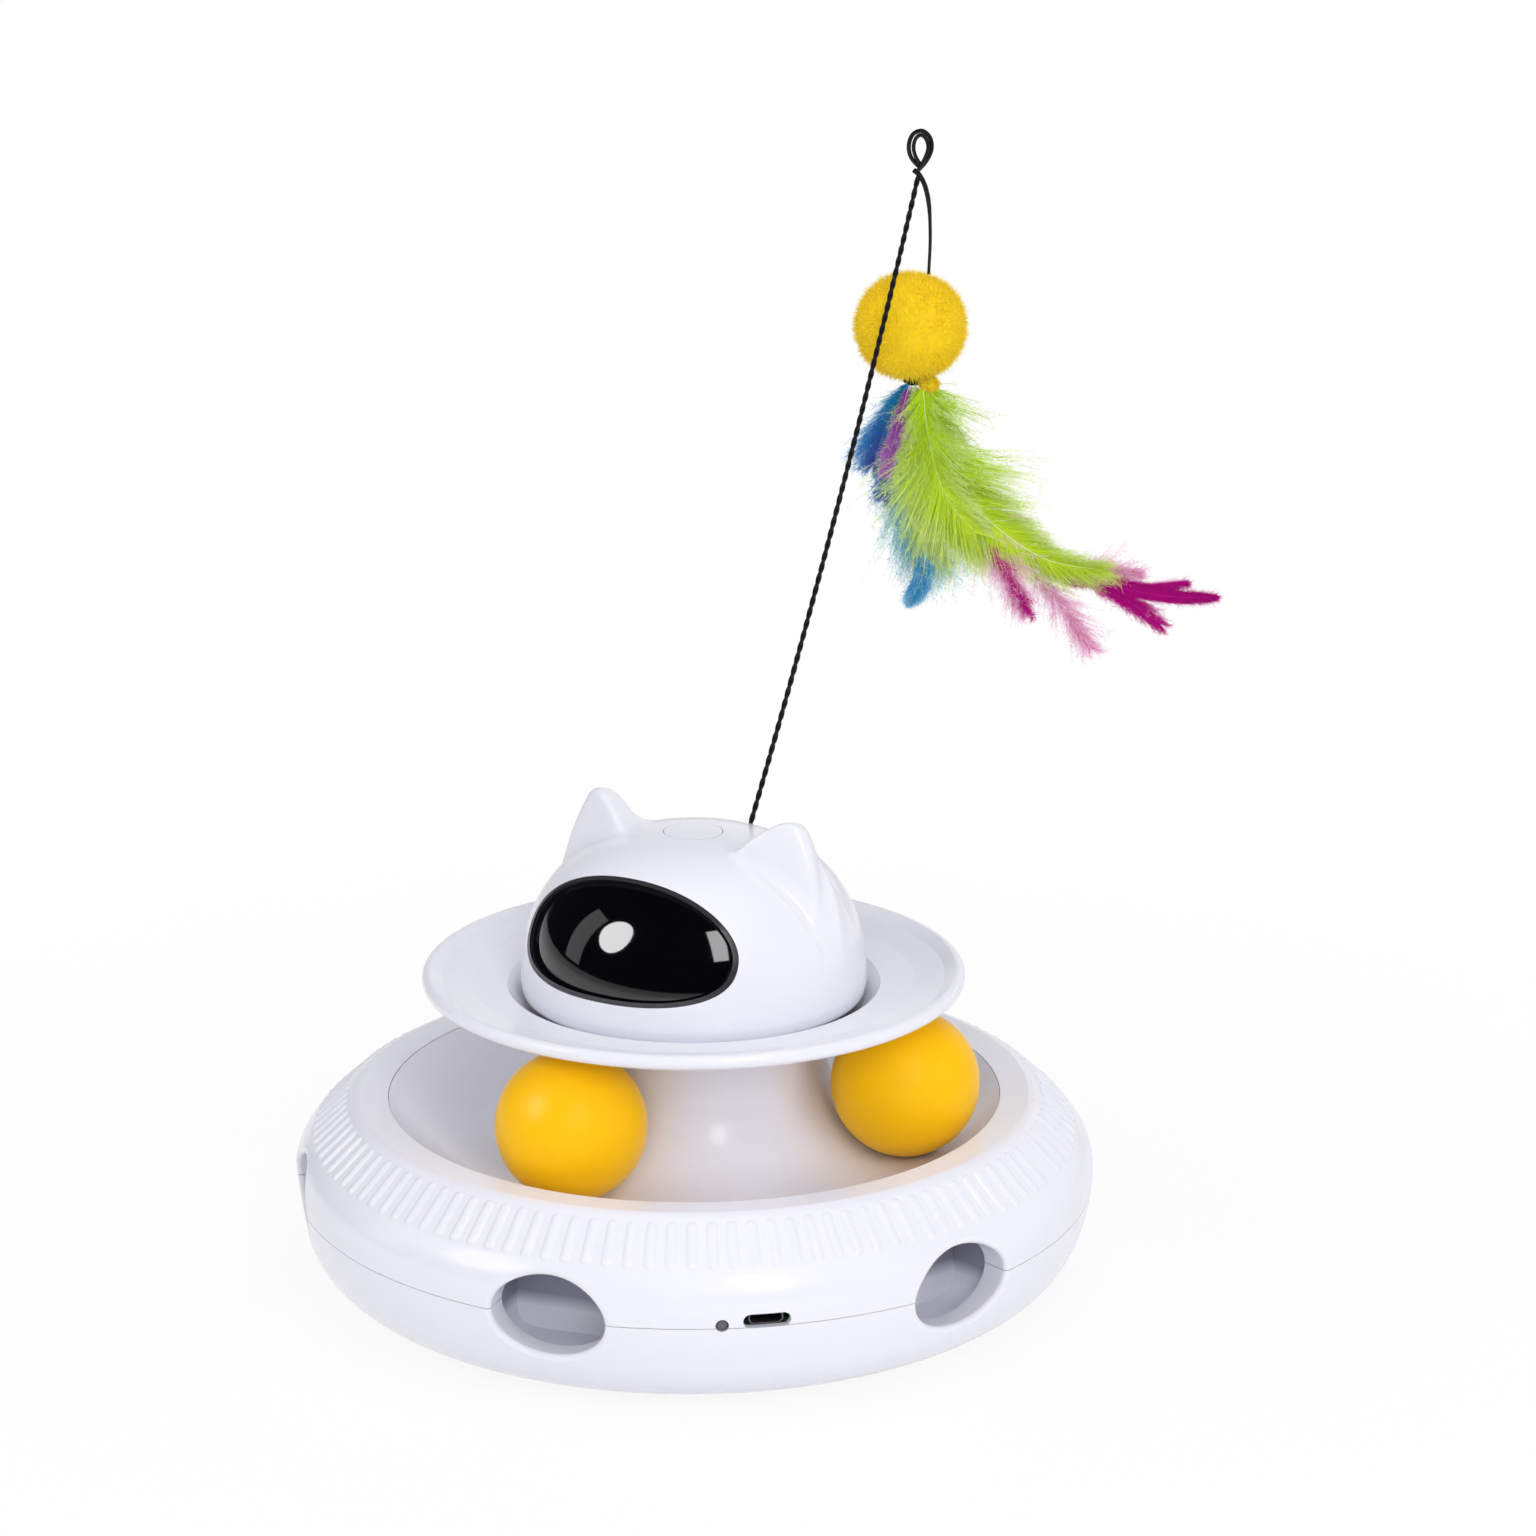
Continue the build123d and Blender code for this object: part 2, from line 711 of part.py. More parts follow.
with BuildPart() as led_lens:
    with BuildSketch(outward(board_front_radius + 1, led_azimuth, led_z)):
        Circle(led_radius)
    extrude(amount=led_length)
    fillet(led_lens.edges().sort_by(lambda edge: hypot(edge.center().X, edge.center().Y))[-1], led_radius / 2)
save(led_lens, "led_lens")

across_battery = outward(battery_track, battery_azimuth, battery_z)
lying = Plane(across_battery.origin, across_battery.y_dir, across_battery.x_dir)
with BuildPart(lying) as battery_cell:
    Cylinder(battery_radius, battery_length)
    fillet(battery_cell.edges(), battery_edge)
    Cylinder(battery_radius / 3, battery_length + 2 * battery_button)
save(battery_cell, "battery_cell")

holder_floor_z = base_floor_z + wall
with BuildPart() as battery_holder:
    with BuildSketch(Plane(
        spot(battery_track, battery_azimuth, holder_floor_z), across_battery.x_dir, (0, 0, 1)
    )):
        Rectangle(battery_length + 2 * (holder_wall + holder_end_room), 2 * (battery_radius + holder_wall))
    extrude(amount=battery_z - holder_floor_z)
    with BuildSketch(Plane(
        spot(battery_track, battery_azimuth, holder_floor_z + holder_wall), across_battery.x_dir, (0, 0, 1)
    )):
        Rectangle(battery_length + 2 * holder_end_room, 2 * (battery_radius + slip_fit))
    extrude(amount=battery_z, mode=Mode.SUBTRACT)
save(battery_holder, "battery_holder")


# ---------------------------------------------------------------- motor, gears and hub
gearbox_top_z = deck_z - deck_wall - bracket_thickness
with BuildPart() as motor_bracket:
    with BuildSketch(Plane.XY.offset(gearbox_top_z)):
        with Locations(motor_place):
            SlotOverall(2 * bracket_screw_spread + 4 * bracket_screw_radius, 6 * bracket_screw_radius)
            Circle(gearbox_radius)
            Circle(shaft_collar_radius, mode=Mode.SUBTRACT)
            with Locations((-bracket_screw_spread, 0), (bracket_screw_spread, 0)):
                Circle(bracket_screw_radius, mode=Mode.SUBTRACT)
    extrude(amount=bracket_thickness)
save(motor_bracket, "motor_bracket")

with BuildPart() as bracket_screws:
    for side in (-1, 1):
        with Locations(motor_place + Vector(side * bracket_screw_spread, 0, deck_z)):
            Cylinder(bracket_screw_radius, deck_wall + bracket_thickness + bracket_screw_end,
                     align=(Align.CENTER, Align.CENTER, Align.MAX))
            Cylinder(1.8 * bracket_screw_radius, bracket_screw_head,
                     align=(Align.CENTER, Align.CENTER, Align.MIN))
save(bracket_screws, "bracket_screws")

with BuildPart() as motor_gearbox:
    with Locations(motor_place + Vector(0, 0, gearbox_top_z)):
        Cylinder(gearbox_radius, gearbox_length, align=(Align.CENTER, Align.CENTER, Align.MAX))
        Cylinder(shaft_collar_radius - slip_fit, deck_wall, align=(Align.CENTER, Align.CENTER, Align.MIN))
        Cylinder(shaft_radius + run_fit, 2 * (shaft_depth + shaft_end), mode=Mode.SUBTRACT)
save(motor_gearbox, "motor_gearbox")

with BuildPart() as motor_can:
    with Locations(motor_place + Vector(0, 0, gearbox_top_z - gearbox_length)):
        Cylinder(can_radius, can_length, align=(Align.CENTER, Align.CENTER, Align.MAX))
        fillet(motor_can.edges(), can_edge)
        Cylinder(can_radius / 3, can_length + can_boss, align=(Align.CENTER, Align.CENTER, Align.MAX))
save(motor_can, "motor_can")
can_low_z = gearbox_top_z - gearbox_length - can_length

shaft_low_z = gearbox_top_z - shaft_depth
with BuildPart() as motor_shaft:
    with Locations(motor_place + Vector(0, 0, shaft_low_z)):
        Cylinder(shaft_radius, gear_z + gear_height + shaft_end - shaft_low_z,
                 align=(Align.CENTER, Align.CENTER, Align.MIN))
save(motor_shaft, "motor_shaft")


def gear_outline(teeth, bore, first_tooth):
    """Straight-flanked teeth on a root disc, with one tooth centred on the given angle."""
    pitch_radius = teeth * gear_module / 2
    root_radius = pitch_radius - 1.25 * gear_module
    half_tooth = (pi * gear_module / 2 - gear_backlash) / 2
    flare = tan(radians(20)) * gear_module
    with BuildSketch() as outline:
        Circle(root_radius)
        with PolarLocations(0, teeth, start_angle=first_tooth):
            Polygon(
                (root_radius - 0.3, half_tooth + 1.25 * flare),
                (root_radius - 0.3, -half_tooth - 1.25 * flare),
                (pitch_radius + gear_module, -half_tooth + flare),
                (pitch_radius + gear_module, half_tooth - flare),
                align=None,
            )
        Circle(bore, mode=Mode.SUBTRACT)
    return outline.sketch


with BuildPart() as motor_pinion:
    with BuildSketch(Plane.XY.offset(gear_z)):
        with Locations(motor_place):
            add(gear_outline(pinion_teeth, shaft_radius, -90))
    extrude(amount=gear_height)
save(motor_pinion, "motor_pinion")

with BuildPart() as head_gear:
    with BuildSketch(Plane.XY.offset(gear_z)):
        add(gear_outline(gear_teeth, hub_radius, 90 + 180 / gear_teeth))
    extrude(amount=gear_height)
save(head_gear, "head_gear")

bush_low_z = deck_z - deck_wall - bush_drop
with BuildPart() as hub_bush:
    with Locations((0, 0, bush_low_z)):
        Cylinder(bush_radius, deck_z - bush_low_z, align=(Align.CENTER, Align.CENTER, Align.MIN))
    with Locations((0, 0, deck_z - deck_wall)):
        Cylinder(bush_radius + bush_flange, deck_wall / 2, align=(Align.CENTER, Align.CENTER, Align.MAX))
    with Locations((0, 0, bush_low_z)):
        Cylinder(hub_radius + run_fit, 2 * (deck_z - bush_low_z), mode=Mode.SUBTRACT)
save(hub_bush, "hub_bush")

clip_z = bush_low_z - clip_gap - clip_thickness
hub_low_z = clip_z - hub_end
with BuildPart() as head_hub:
    with Locations((0, 0, hub_low_z)):
        Cylinder(hub_radius, head_floor_z - hub_low_z, align=(Align.CENTER, Align.CENTER, Align.MIN))
    with Locations((0, 0, gear_z + gear_height)):
        Cylinder(hub_flange_radius, head_floor_z - gear_z - gear_height,
                 align=(Align.CENTER, Align.CENTER, Align.MIN))
    with Locations((0, 0, hub_low_z)):
        Cylinder(hub_bore, head_floor_z - hub_low_z, align=(Align.CENTER, Align.CENTER, Align.MIN),
                 mode=Mode.SUBTRACT)
save(head_hub, "head_hub")

with BuildPart() as hub_clip:
    with Locations((0, 0, clip_z)):
        Cylinder(bush_radius, clip_thickness, align=(Align.CENTER, Align.CENTER, Align.MIN))
        Cylinder(hub_radius, 4 * clip_thickness, mode=Mode.SUBTRACT)
        with Locations((0, bush_radius, 0)):
            Box(hub_radius, bush_radius, 4 * clip_thickness, mode=Mode.SUBTRACT)
save(hub_clip, "hub_clip")

with BuildPart() as slip_rotor:
    with Locations((0, 0, hub_low_z - slip_plug)):
        Cylinder(hub_bore - slip_fit, 3 * slip_plug, align=(Align.CENTER, Align.CENTER, Align.MIN))
        Cylinder(hub_bore + slip_plug_rim, slip_plug_height, align=(Align.CENTER, Align.CENTER, Align.MIN))
save(slip_rotor, "slip_rotor")

slip_top_z = hub_low_z - slip_plug - clip_gap
with BuildPart() as slip_ring:
    with Locations((0, 0, slip_top_z)):
        Cylinder(slip_radius, slip_length, align=(Align.CENTER, Align.CENTER, Align.MAX))
    arm_length = column_radius - bowl_wall
    with BuildSketch(Plane.XY.offset(slip_top_z - slip_length)):
        with Locations((0, -arm_length / 2)):
            Rectangle(2 * slip_radius, arm_length - 2 * clip_gap)
        Circle(slip_radius, mode=Mode.SUBTRACT)
    extrude(amount=bowl_wall)
save(slip_ring, "slip_ring")

lead_low_z = base_floor_z + wall + slip_fit
with BuildPart() as base_leads:
    for place, top_z in (
        (motor_place + Vector(lead_offset, 0, 0), can_low_z - can_boss - slip_fit),
        (Vector(0, 0, 0), slip_top_z - slip_length),
    ):
        with Locations(place + Vector(0, 0, lead_low_z)):
            Cylinder(lead_radius, top_z - lead_low_z, align=(Align.CENTER, Align.CENTER, Align.MIN))
save(base_leads, "base_leads")


# ---------------------------------------------------------------- cat head
def dome_section(inset, low_z=head_rim_z):
    """Half section under the dome, moved in by the inset."""
    with BuildSketch(Plane.XZ) as section:
        with BuildLine():
            dome = Bezier(
                (head_radius - inset, head_widest_z),
                (head_radius - inset, head_widest_z + dome_side_handle),
                (dome_top_handle, head_top_z - inset),
                (0, head_top_z - inset),
            )
            Polyline(dome @ 1, (0, low_z), (head_rim_radius - inset, low_z), dome @ 0)
        make_face()
    return section.sketch


def dome_solid(inset, low_z=head_rim_z):
    """The solid that fills the dome, moved in by the inset."""
    with BuildPart() as solid:
        add(dome_section(inset, low_z))
        revolve(axis=Axis.Z)
    return solid.part


def ear_solid(inset):
    """The right ear, a rounded triangle with a flat face that narrows to the back."""
    with BuildPart() as ear:
        with BuildSketch(Plane((0, ear_front_y + inset, 0), (1, 0, 0), (0, 1, 0))):
            with BuildLine():
                Polyline(*[(x, -z) for x, z in ear_outline], close=True)
            make_face()
            if inset:
                offset(amount=-inset, kind=Kind.INTERSECTION)
        extrude(amount=ear_depth - 2 * inset, taper=ear_taper)
        if not inset:
            fillet(ear.edges().filter_by(lambda edge: edge.center().Z > ear_fillet_from_z), ear_edge)
    return ear.part


with BuildPart() as head_solid:
    add(dome_solid(0))
    fillet(head_solid.edges().filter_by(GeomType.CIRCLE).sort_by(Axis.Z)[0], head_rim_edge)
    add(ear_solid(0))
    add(ear_solid(0).mirror(Plane.YZ))


def visor_prism(inset):
    """Prism of the visor's outline, along the way the visor looks."""
    power = 2 / visor_squareness
    half_width = visor_half_width - inset
    half_height = visor_half_height - inset
    points = []
    for step in range(visor_points):
        turn = 2 * pi * step / visor_points
        across, up = cos(turn), sin(turn)
        points.append((
            half_width * (abs(across) ** power if across > 0 else -(abs(across) ** power)),
            half_height * (abs(up) ** power if up > 0 else -(abs(up) ** power)),
        ))
    aim = (0, -cos(radians(visor_pitch)), sin(radians(visor_pitch)))
    with BuildPart() as prism:
        with BuildSketch(Plane((0, 0, visor_aim_z), (1, 0, 0), aim)):
            with BuildLine():
                Spline(*points, periodic=True)
            make_face()
        extrude(amount=2 * head_radius)
    return prism.part


wand_chord = Vector(0, wand_tip_y - wand_foot_y, wand_tip_z - wand_foot_z)
wand_across = Vector(0, wand_chord.Z, -wand_chord.Y).normalized()
wand_foot = Vector(0, wand_foot_y, wand_foot_z)
wand_tip = Vector(0, wand_tip_y, wand_tip_z)
wand_arc = ThreePointArc(wand_foot, (wand_foot + wand_tip) * 0.5 + wand_across * wand_bow, wand_tip)
wand_rise = wand_arc % 0
socket_low = wand_foot - wand_rise * socket_length

crown_z = head_top_z - wall
floor_top_z = head_floor_z + head_floor_thickness
head_posts = [spot(head_post_radius, azimuth, floor_top_z) for azimuth in head_post_azimuths]
switch_board_z = head_top_z - button_depth - switch_height
with BuildPart() as head_bosses:
    for place in head_posts:
        with Locations(place):
            Cylinder(head_post_size, head_top_z, align=(Align.CENTER, Align.CENTER, Align.MIN))
            Cylinder(screw_radius, head_screw_length, align=(Align.CENTER, Align.CENTER, Align.MIN),
                     mode=Mode.SUBTRACT)
    for side in (-1, 1):
        with Locations((side * (board_2_width / 2 - board_2_post_inset), 0, switch_board_z)):
            Cylinder(board_post_radius, head_top_z, align=(Align.CENTER, Align.CENTER, Align.MIN))
    with Locations(Location(Plane(socket_low, (1, 0, 0), wand_rise))):
        Cylinder(socket_radius + socket_boss_wall, 2 * socket_length,
                 align=(Align.CENTER, Align.CENTER, Align.MIN))
    add(dome_solid(wall / 2, floor_top_z), mode=Mode.INTERSECT)

with BuildPart() as head_shell:
    add(head_solid.part)
    add(dome_solid(wall, head_rim_z), mode=Mode.SUBTRACT)
    add(head_bosses.part)
    add(visor_prism(0), mode=Mode.SUBTRACT)
    with Locations((0, 0, crown_z)):
        Cylinder(button_radius + button_gap, 4 * wall, mode=Mode.SUBTRACT)
    with Locations(Location(Plane(socket_low - wand_rise, (1, 0, 0), wand_rise))):
        Cylinder(socket_radius, 3 * socket_length, align=(Align.CENTER, Align.CENTER, Align.MIN),
                 mode=Mode.SUBTRACT)
save(head_shell, "head_shell")

with BuildPart() as visor_bezel:
    add(dome_solid(slip_fit))
    add(dome_solid(bezel_depth), mode=Mode.SUBTRACT)
    add(visor_prism(slip_fit), mode=Mode.INTERSECT)
    add(visor_prism(slip_fit + bezel_wall), mode=Mode.SUBTRACT)
save(visor_bezel, "visor_bezel")

with BuildPart() as visor_lens:
    add(dome_solid(lens_recess))
    add(dome_solid(lens_recess + lens_thickness), mode=Mode.SUBTRACT)
    add(visor_prism(slip_fit + bezel_wall), mode=Mode.INTERSECT)
save(visor_lens, "visor_lens")

floor_edge_radius = head_rim_radius - wall - 2 * slip_fit
with BuildPart() as head_floor:
    with BuildSketch(Plane.XY.offset(head_floor_z)):
        Circle(floor_edge_radius)
        Circle(hub_bore, mode=Mode.SUBTRACT)
        with Locations(*[Vector(place.X, place.Y) for place in head_posts]):
            Circle(screw_radius, mode=Mode.SUBTRACT)
    extrude(amount=head_floor_thickness)
save(head_floor, "head_floor")

with BuildPart() as head_screws:
    for place in head_posts:
        add(screw(Vector(place.X, place.Y, head_floor_z), head_screw_length, False))
save(head_screws, "head_screws")

button_low_z = head_top_z - button_depth
with BuildPart() as head_button:
    with Locations((0, 0, crown_z - button_flange - button_travel)):
        Cylinder(button_radius, head_top_z, align=(Align.CENTER, Align.CENTER, Align.MIN))
        Cylinder(button_radius + button_flange, button_flange, align=(Align.CENTER, Align.CENTER, Align.MIN))
    with Locations((0, 0, button_low_z + plunger_height)):
        Cylinder(plunger_radius, crown_z - button_low_z - plunger_height - button_travel,
                 align=(Align.CENTER, Align.CENTER, Align.MIN))
    add(dome_solid(0), mode=Mode.INTERSECT)
save(head_button, "head_button")

with BuildPart() as switch_plunger:
    with Locations((0, 0, button_low_z - button_travel)):
        Cylinder(plunger_radius, plunger_height + button_travel,
                 align=(Align.CENTER, Align.CENTER, Align.MIN))
save(switch_plunger, "switch_plunger")

with BuildPart() as switch_case:
    with Locations((0, 0, switch_board_z)):
        Box(switch_size, switch_size, switch_height, align=(Align.CENTER, Align.CENTER, Align.MIN))
    with Locations((0, 0, button_low_z)):
        Cylinder(plunger_radius + run_fit, 4 * button_travel, mode=Mode.SUBTRACT)
save(switch_case, "switch_case")

with BuildPart() as switch_board:
    with Locations((0, 0, switch_board_z)):
        Box(board_2_width, board_2_depth, board_thickness,
            align=(Align.CENTER, Align.CENTER, Align.MAX))
save(switch_board, "switch_board")


# ---------------------------------------------------------------- laser and its tilt
pivot = Vector(0, laser_pivot_y, laser_pivot_z)
bracket_inner = carrier_width / 2 + ear_gap
with BuildPart() as tilt_bracket:
    with Locations((0, laser_pivot_y, floor_top_z)):
        Box(2 * (bracket_inner + bracket_wall), bracket_depth, bracket_wall,
            align=(Align.CENTER, Align.CENTER, Align.MIN))
    for side in (-1, 1):
        with BuildSketch(Plane((side * bracket_inner, 0, 0), (0, 1, 0), (1, 0, 0))):
            with BuildLine():
                Polyline(
                    (laser_pivot_y - bracket_depth / 2, floor_top_z),
                    (laser_pivot_y + bracket_depth / 2, floor_top_z),
                    (laser_pivot_y + bracket_depth / 3, laser_pivot_z + bracket_depth / 3),
                    (laser_pivot_y - bracket_depth / 3, laser_pivot_z + bracket_depth / 3),
                    close=True,
                )
            make_face()
            with Locations((laser_pivot_y, laser_pivot_z)):
                Circle(pivot_radius + run_fit, mode=Mode.SUBTRACT)
        extrude(amount=side * bracket_wall)
save(tilt_bracket, "tilt_bracket")

across_x = Plane(pivot, (0, 1, 0), (1, 0, 0))
along_beam = Plane(pivot, (1, 0, 0), (0, -1, 0))
with BuildPart() as laser_carrier:
    with Locations(pivot):
        Box(carrier_width, laser_length - 2 * carrier_setback, 2 * laser_radius + 2 * carrier_wall)
    with Locations(Location(across_x)):
        Cylinder(pivot_radius, 2 * (bracket_inner + bracket_wall))
    with Locations(Location(along_beam)):
        Cylinder(laser_radius, 4 * laser_length, mode=Mode.SUBTRACT)
save(laser_carrier, "laser_carrier")

with BuildPart() as laser_barrel:
    with Locations(Location(along_beam)):
        Cylinder(laser_radius, laser_length)
        Cylinder(laser_radius / 2, 2 * laser_length, mode=Mode.SUBTRACT)
save(laser_barrel, "laser_barrel")

with BuildPart() as laser_lens:
    lens_place = pivot + Vector(0, laser_lens_thickness - laser_length / 2, 0)
    with Locations(Location(Plane(lens_place, (1, 0, 0), (0, -1, 0)))):
        Cylinder(laser_radius / 2, laser_lens_thickness)
save(laser_lens, "laser_lens")

motor_face_x = bracket_inner + bracket_wall
with BuildPart() as tilt_motor:
    with Locations((motor_face_x + slip_fit, laser_pivot_y, laser_pivot_z)):
        Box(tilt_motor_length, tilt_motor_size, tilt_motor_size,
            align=(Align.MIN, Align.CENTER, Align.CENTER))
    with BuildSketch(Plane.XY.offset(floor_top_z)):
        with Locations((motor_face_x + slip_fit + tilt_motor_length / 2, laser_pivot_y)):
            Rectangle(tilt_motor_length / 2, tilt_motor_size / 2)
    extrude(amount=laser_pivot_z - floor_top_z - tilt_motor_size / 2)
save(tilt_motor, "tilt_motor")


# ---------------------------------------------------------------- wand and lure
with BuildPart() as wand_socket:
    with Locations(Location(Plane(socket_low, (1, 0, 0), wand_rise))):
        Cylinder(socket_radius, socket_length + 1, align=(Align.CENTER, Align.CENTER, Align.MIN))
        Cylinder(wand_radius + run_fit, 3 * socket_length, align=(Align.CENTER, Align.CENTER, Align.CENTER),
                 mode=Mode.SUBTRACT)
    add(dome_solid(slip_fit), mode=Mode.INTERSECT)
save(wand_socket, "wand_socket")

wire_low = socket_low + wand_rise * wand_radius
eye_middle = wand_tip + Vector(0, 0, eye_height / 2 - eye_wire_radius)
eye_x_dir = Vector(cos(radians(lure_turn)), sin(radians(lure_turn)), 0)
with BuildPart() as wand_wire:
    with BuildLine() as wand_route:
        Line(wire_low, wand_foot)
        add(wand_arc)
    with BuildSketch(Plane(wire_low, (1, 0, 0), wand_rise)):
        Circle(wand_radius)
    sweep(path=wand_route.line)
    with BuildLine(Plane(eye_middle, eye_x_dir, eye_x_dir.cross(Vector(0, 0, 1)))) as eye_route:
        straight = eye_height / 2 - eye_width / 2
        half = eye_width / 2 - eye_wire_radius
        right = Line((half, -straight), (half, straight))
        top = ThreePointArc(right @ 1, (0, straight + half), (-half, straight))
        left = Line(top @ 1, (-half, -straight))
        ThreePointArc(left @ 1, (0, -straight - half), right @ 0)
    with BuildSketch(Plane(eye_route.line @ 0, eye_x_dir, eye_route.line % 0)):
        Circle(eye_wire_radius)
    sweep(path=eye_route.line)
save(wand_wire, "wand_wire")


# ---------------------------------------------------------------- lure: wire, pompom and feathers
lure_x_dir = Vector(cos(radians(lure_turn)), sin(radians(lure_turn)), 0)
lure_plane = Plane((0, lure_y, 0), lure_x_dir, (sin(radians(lure_turn)), -cos(radians(lure_turn)), 0))


def in_lure(across, up, layer=0.0):
    """Point in the upright plane in which the feathers fan out."""
    return lure_plane.origin + lure_plane.x_dir * across + lure_plane.z_dir * layer + Vector(0, 0, up)


knot = Vector(*knot_place)
hanger_end = in_lure(hanger_end_across, pompom_z + pompom_height / 2 * sqrt(
    1 - ((hanger_end_across - pompom_across) / pompom_radius) ** 2) + run_fit)
hanger_middle = (knot + hanger_end) * 0.5 + lure_x_dir * hanger_bow
with BuildPart() as hanger_wire:
    with Locations(knot):
        Sphere(knot_radius)
    with BuildLine() as hang:
        ThreePointArc(knot, hanger_middle, hanger_end)
    with BuildSketch(Plane(knot, z_dir=hang.line % 0)):
        Circle(hanger_radius)
    sweep(path=hang.line)
save(hanger_wire, "hanger_wire")

with BuildPart() as pompom:
    with BuildSketch(Plane(in_lure(pompom_across, pompom_z), (1, 0, 0), (0, -1, 0))):
        with BuildLine():
            half_height = pompom_height / 2
            below = Bezier(
                (0, -half_height),
                (pompom_fullness * pompom_radius, -half_height),
                (pompom_radius, -pompom_fullness * half_height),
                (pompom_radius, 0),
            )
            above = Bezier(
                below @ 1,
                (pompom_radius, pompom_fullness * half_height),
                (pompom_fullness * pompom_radius, half_height),
                (0, half_height),
            )
            Line(above @ 1, below @ 0)
        make_face()
    revolve(axis=Axis(in_lure(pompom_across, pompom_z), (0, 0, 1)))
save(pompom, "pompom")

tie_top_z = pompom_z - pompom_height / 2 * sqrt(1 - (tie_radius / pompom_radius) ** 2) - run_fit
with BuildPart() as feather_tie:
    with Locations(in_lure(pompom_across, tie_top_z)):
        Cylinder(tie_radius, tie_height, align=(Align.CENTER, Align.CENTER, Align.MAX))
    fillet(feather_tie.edges(), tie_height / 4)
    add(pompom.part, mode=Mode.SUBTRACT)
save(feather_tie, "feather_tie")


def feather(layer, quill, half_widths):
    """A flat blade round a quill line; each quill point has the blade's half width there."""
    left, right = [], []
    for index, (across, up) in enumerate(quill):
        before = quill[max(index - 1, 0)]
        after = quill[min(index + 1, len(quill) - 1)]
        run = hypot(after[0] - before[0], after[1] - before[1])
        side = ((after[1] - before[1]) / run, (before[0] - after[0]) / run)
        left.append((across + side[0] * half_widths[index], up + side[1] * half_widths[index]))
        right.append((across - side[0] * half_widths[index], up - side[1] * half_widths[index]))
    with BuildPart() as blade:
        with BuildSketch(Plane(in_lure(0, 0, layer * feather_pitch), lure_plane.x_dir, lure_plane.z_dir)):
            with BuildLine():
                Polyline(*left, *reversed(right), close=True)
            make_face()
        extrude(amount=feather_thickness / 2, both=True)
    return blade


feather_root = tie_top_z - tie_height - feather_gap
for name, layer, quill, half_widths in (
    ("feather_green", 2,
     ((1.5, feather_root), (2.0, 205), (8.5, 196), (22, 182), (36, 172.5), (50, 167)), (2, 9, 12, 11, 8, 2)),
    ("feather_lime", 3,
     ((0.5, feather_root), (2.5, 208), (7, 197), (14, 184)), (1.5, 5, 7, 3)),
    ("feather_magenta", 0,
     ((1.0, feather_root), (6, 205), (18, 190), (38, 173), (60, 162), (86, 160)), (1.5, 4, 5, 5, 4, 1.5)),
    ("feather_pink", 1,
     ((0.0, feather_root), (5, 200), (16, 182), (30, 165), (46, 150)), (1.5, 4, 5, 5, 1.5)),
    ("feather_blue", -1,
     ((-1.5, feather_root), (-6, 215), (-10, 204)), (1.5, 3.5, 1)),
    ("feather_purple", -2,
     ((-1.0, feather_root), (-5, 212), (-8.5, 198)), (1.5, 3.5, 1)),
    ("feather_teal", -3,
     ((-1.5, feather_root), (-4, 205), (-1, 186), (2, 174), (-1, 164)), (1.5, 4, 7, 6, 1.5)),
):
    save(feather(layer, quill, half_widths), name)


# ---------------------------------------------------------------- balls in the track
for name, azimuth in (("ball_1", ball_1_azimuth), ("ball_2", ball_2_azimuth)):
    with BuildPart() as ball:
        with Locations(spot(track_radius, azimuth, ball_z)):
            Sphere(ball_radius)
            Sphere(ball_radius - ball_wall, mode=Mode.SUBTRACT)
    save(ball, name)
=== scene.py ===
# %% [markdown]
# # Dressing an automatic cat laser toy
# The toy is a white domed base with a ball track, a saucer over it, and a turning cat head that carries a wand
# with a feather lure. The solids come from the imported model, which is a frame that nothing here moves. This
# lesson gives every solid a finish, and builds again in mesh code the pieces whose look a plain solid can't
# give: the soft-blended head shell, the twisted wire, the pompom and the feathers.

# %% The frame
import json

import bmesh
import bpy
import numpy as np
from mathutils import Matrix, Vector


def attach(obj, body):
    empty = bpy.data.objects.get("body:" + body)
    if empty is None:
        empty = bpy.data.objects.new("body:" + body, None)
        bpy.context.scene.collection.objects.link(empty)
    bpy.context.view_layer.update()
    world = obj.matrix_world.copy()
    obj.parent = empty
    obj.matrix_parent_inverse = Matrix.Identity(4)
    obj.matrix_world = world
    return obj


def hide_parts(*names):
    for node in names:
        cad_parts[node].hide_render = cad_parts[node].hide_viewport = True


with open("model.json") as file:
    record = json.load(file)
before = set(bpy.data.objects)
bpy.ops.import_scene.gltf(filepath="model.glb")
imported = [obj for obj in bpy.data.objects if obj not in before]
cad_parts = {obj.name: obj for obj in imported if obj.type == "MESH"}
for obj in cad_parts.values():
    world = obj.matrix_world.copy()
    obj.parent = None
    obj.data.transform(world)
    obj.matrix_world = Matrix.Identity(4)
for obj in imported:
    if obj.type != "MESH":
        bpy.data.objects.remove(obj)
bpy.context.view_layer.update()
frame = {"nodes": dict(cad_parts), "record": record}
nodes = frame["nodes"]
MM = 0.001

# %% [markdown]
# ## The camera
# A product shot is taken with a long lens from a little above the table. The lens is 101 mm on a 36 mm sensor,
# so near and far edges keep almost the same scale. The camera is placed by its own axes, not by a target,
# because a level right-hand axis keeps the picture upright.

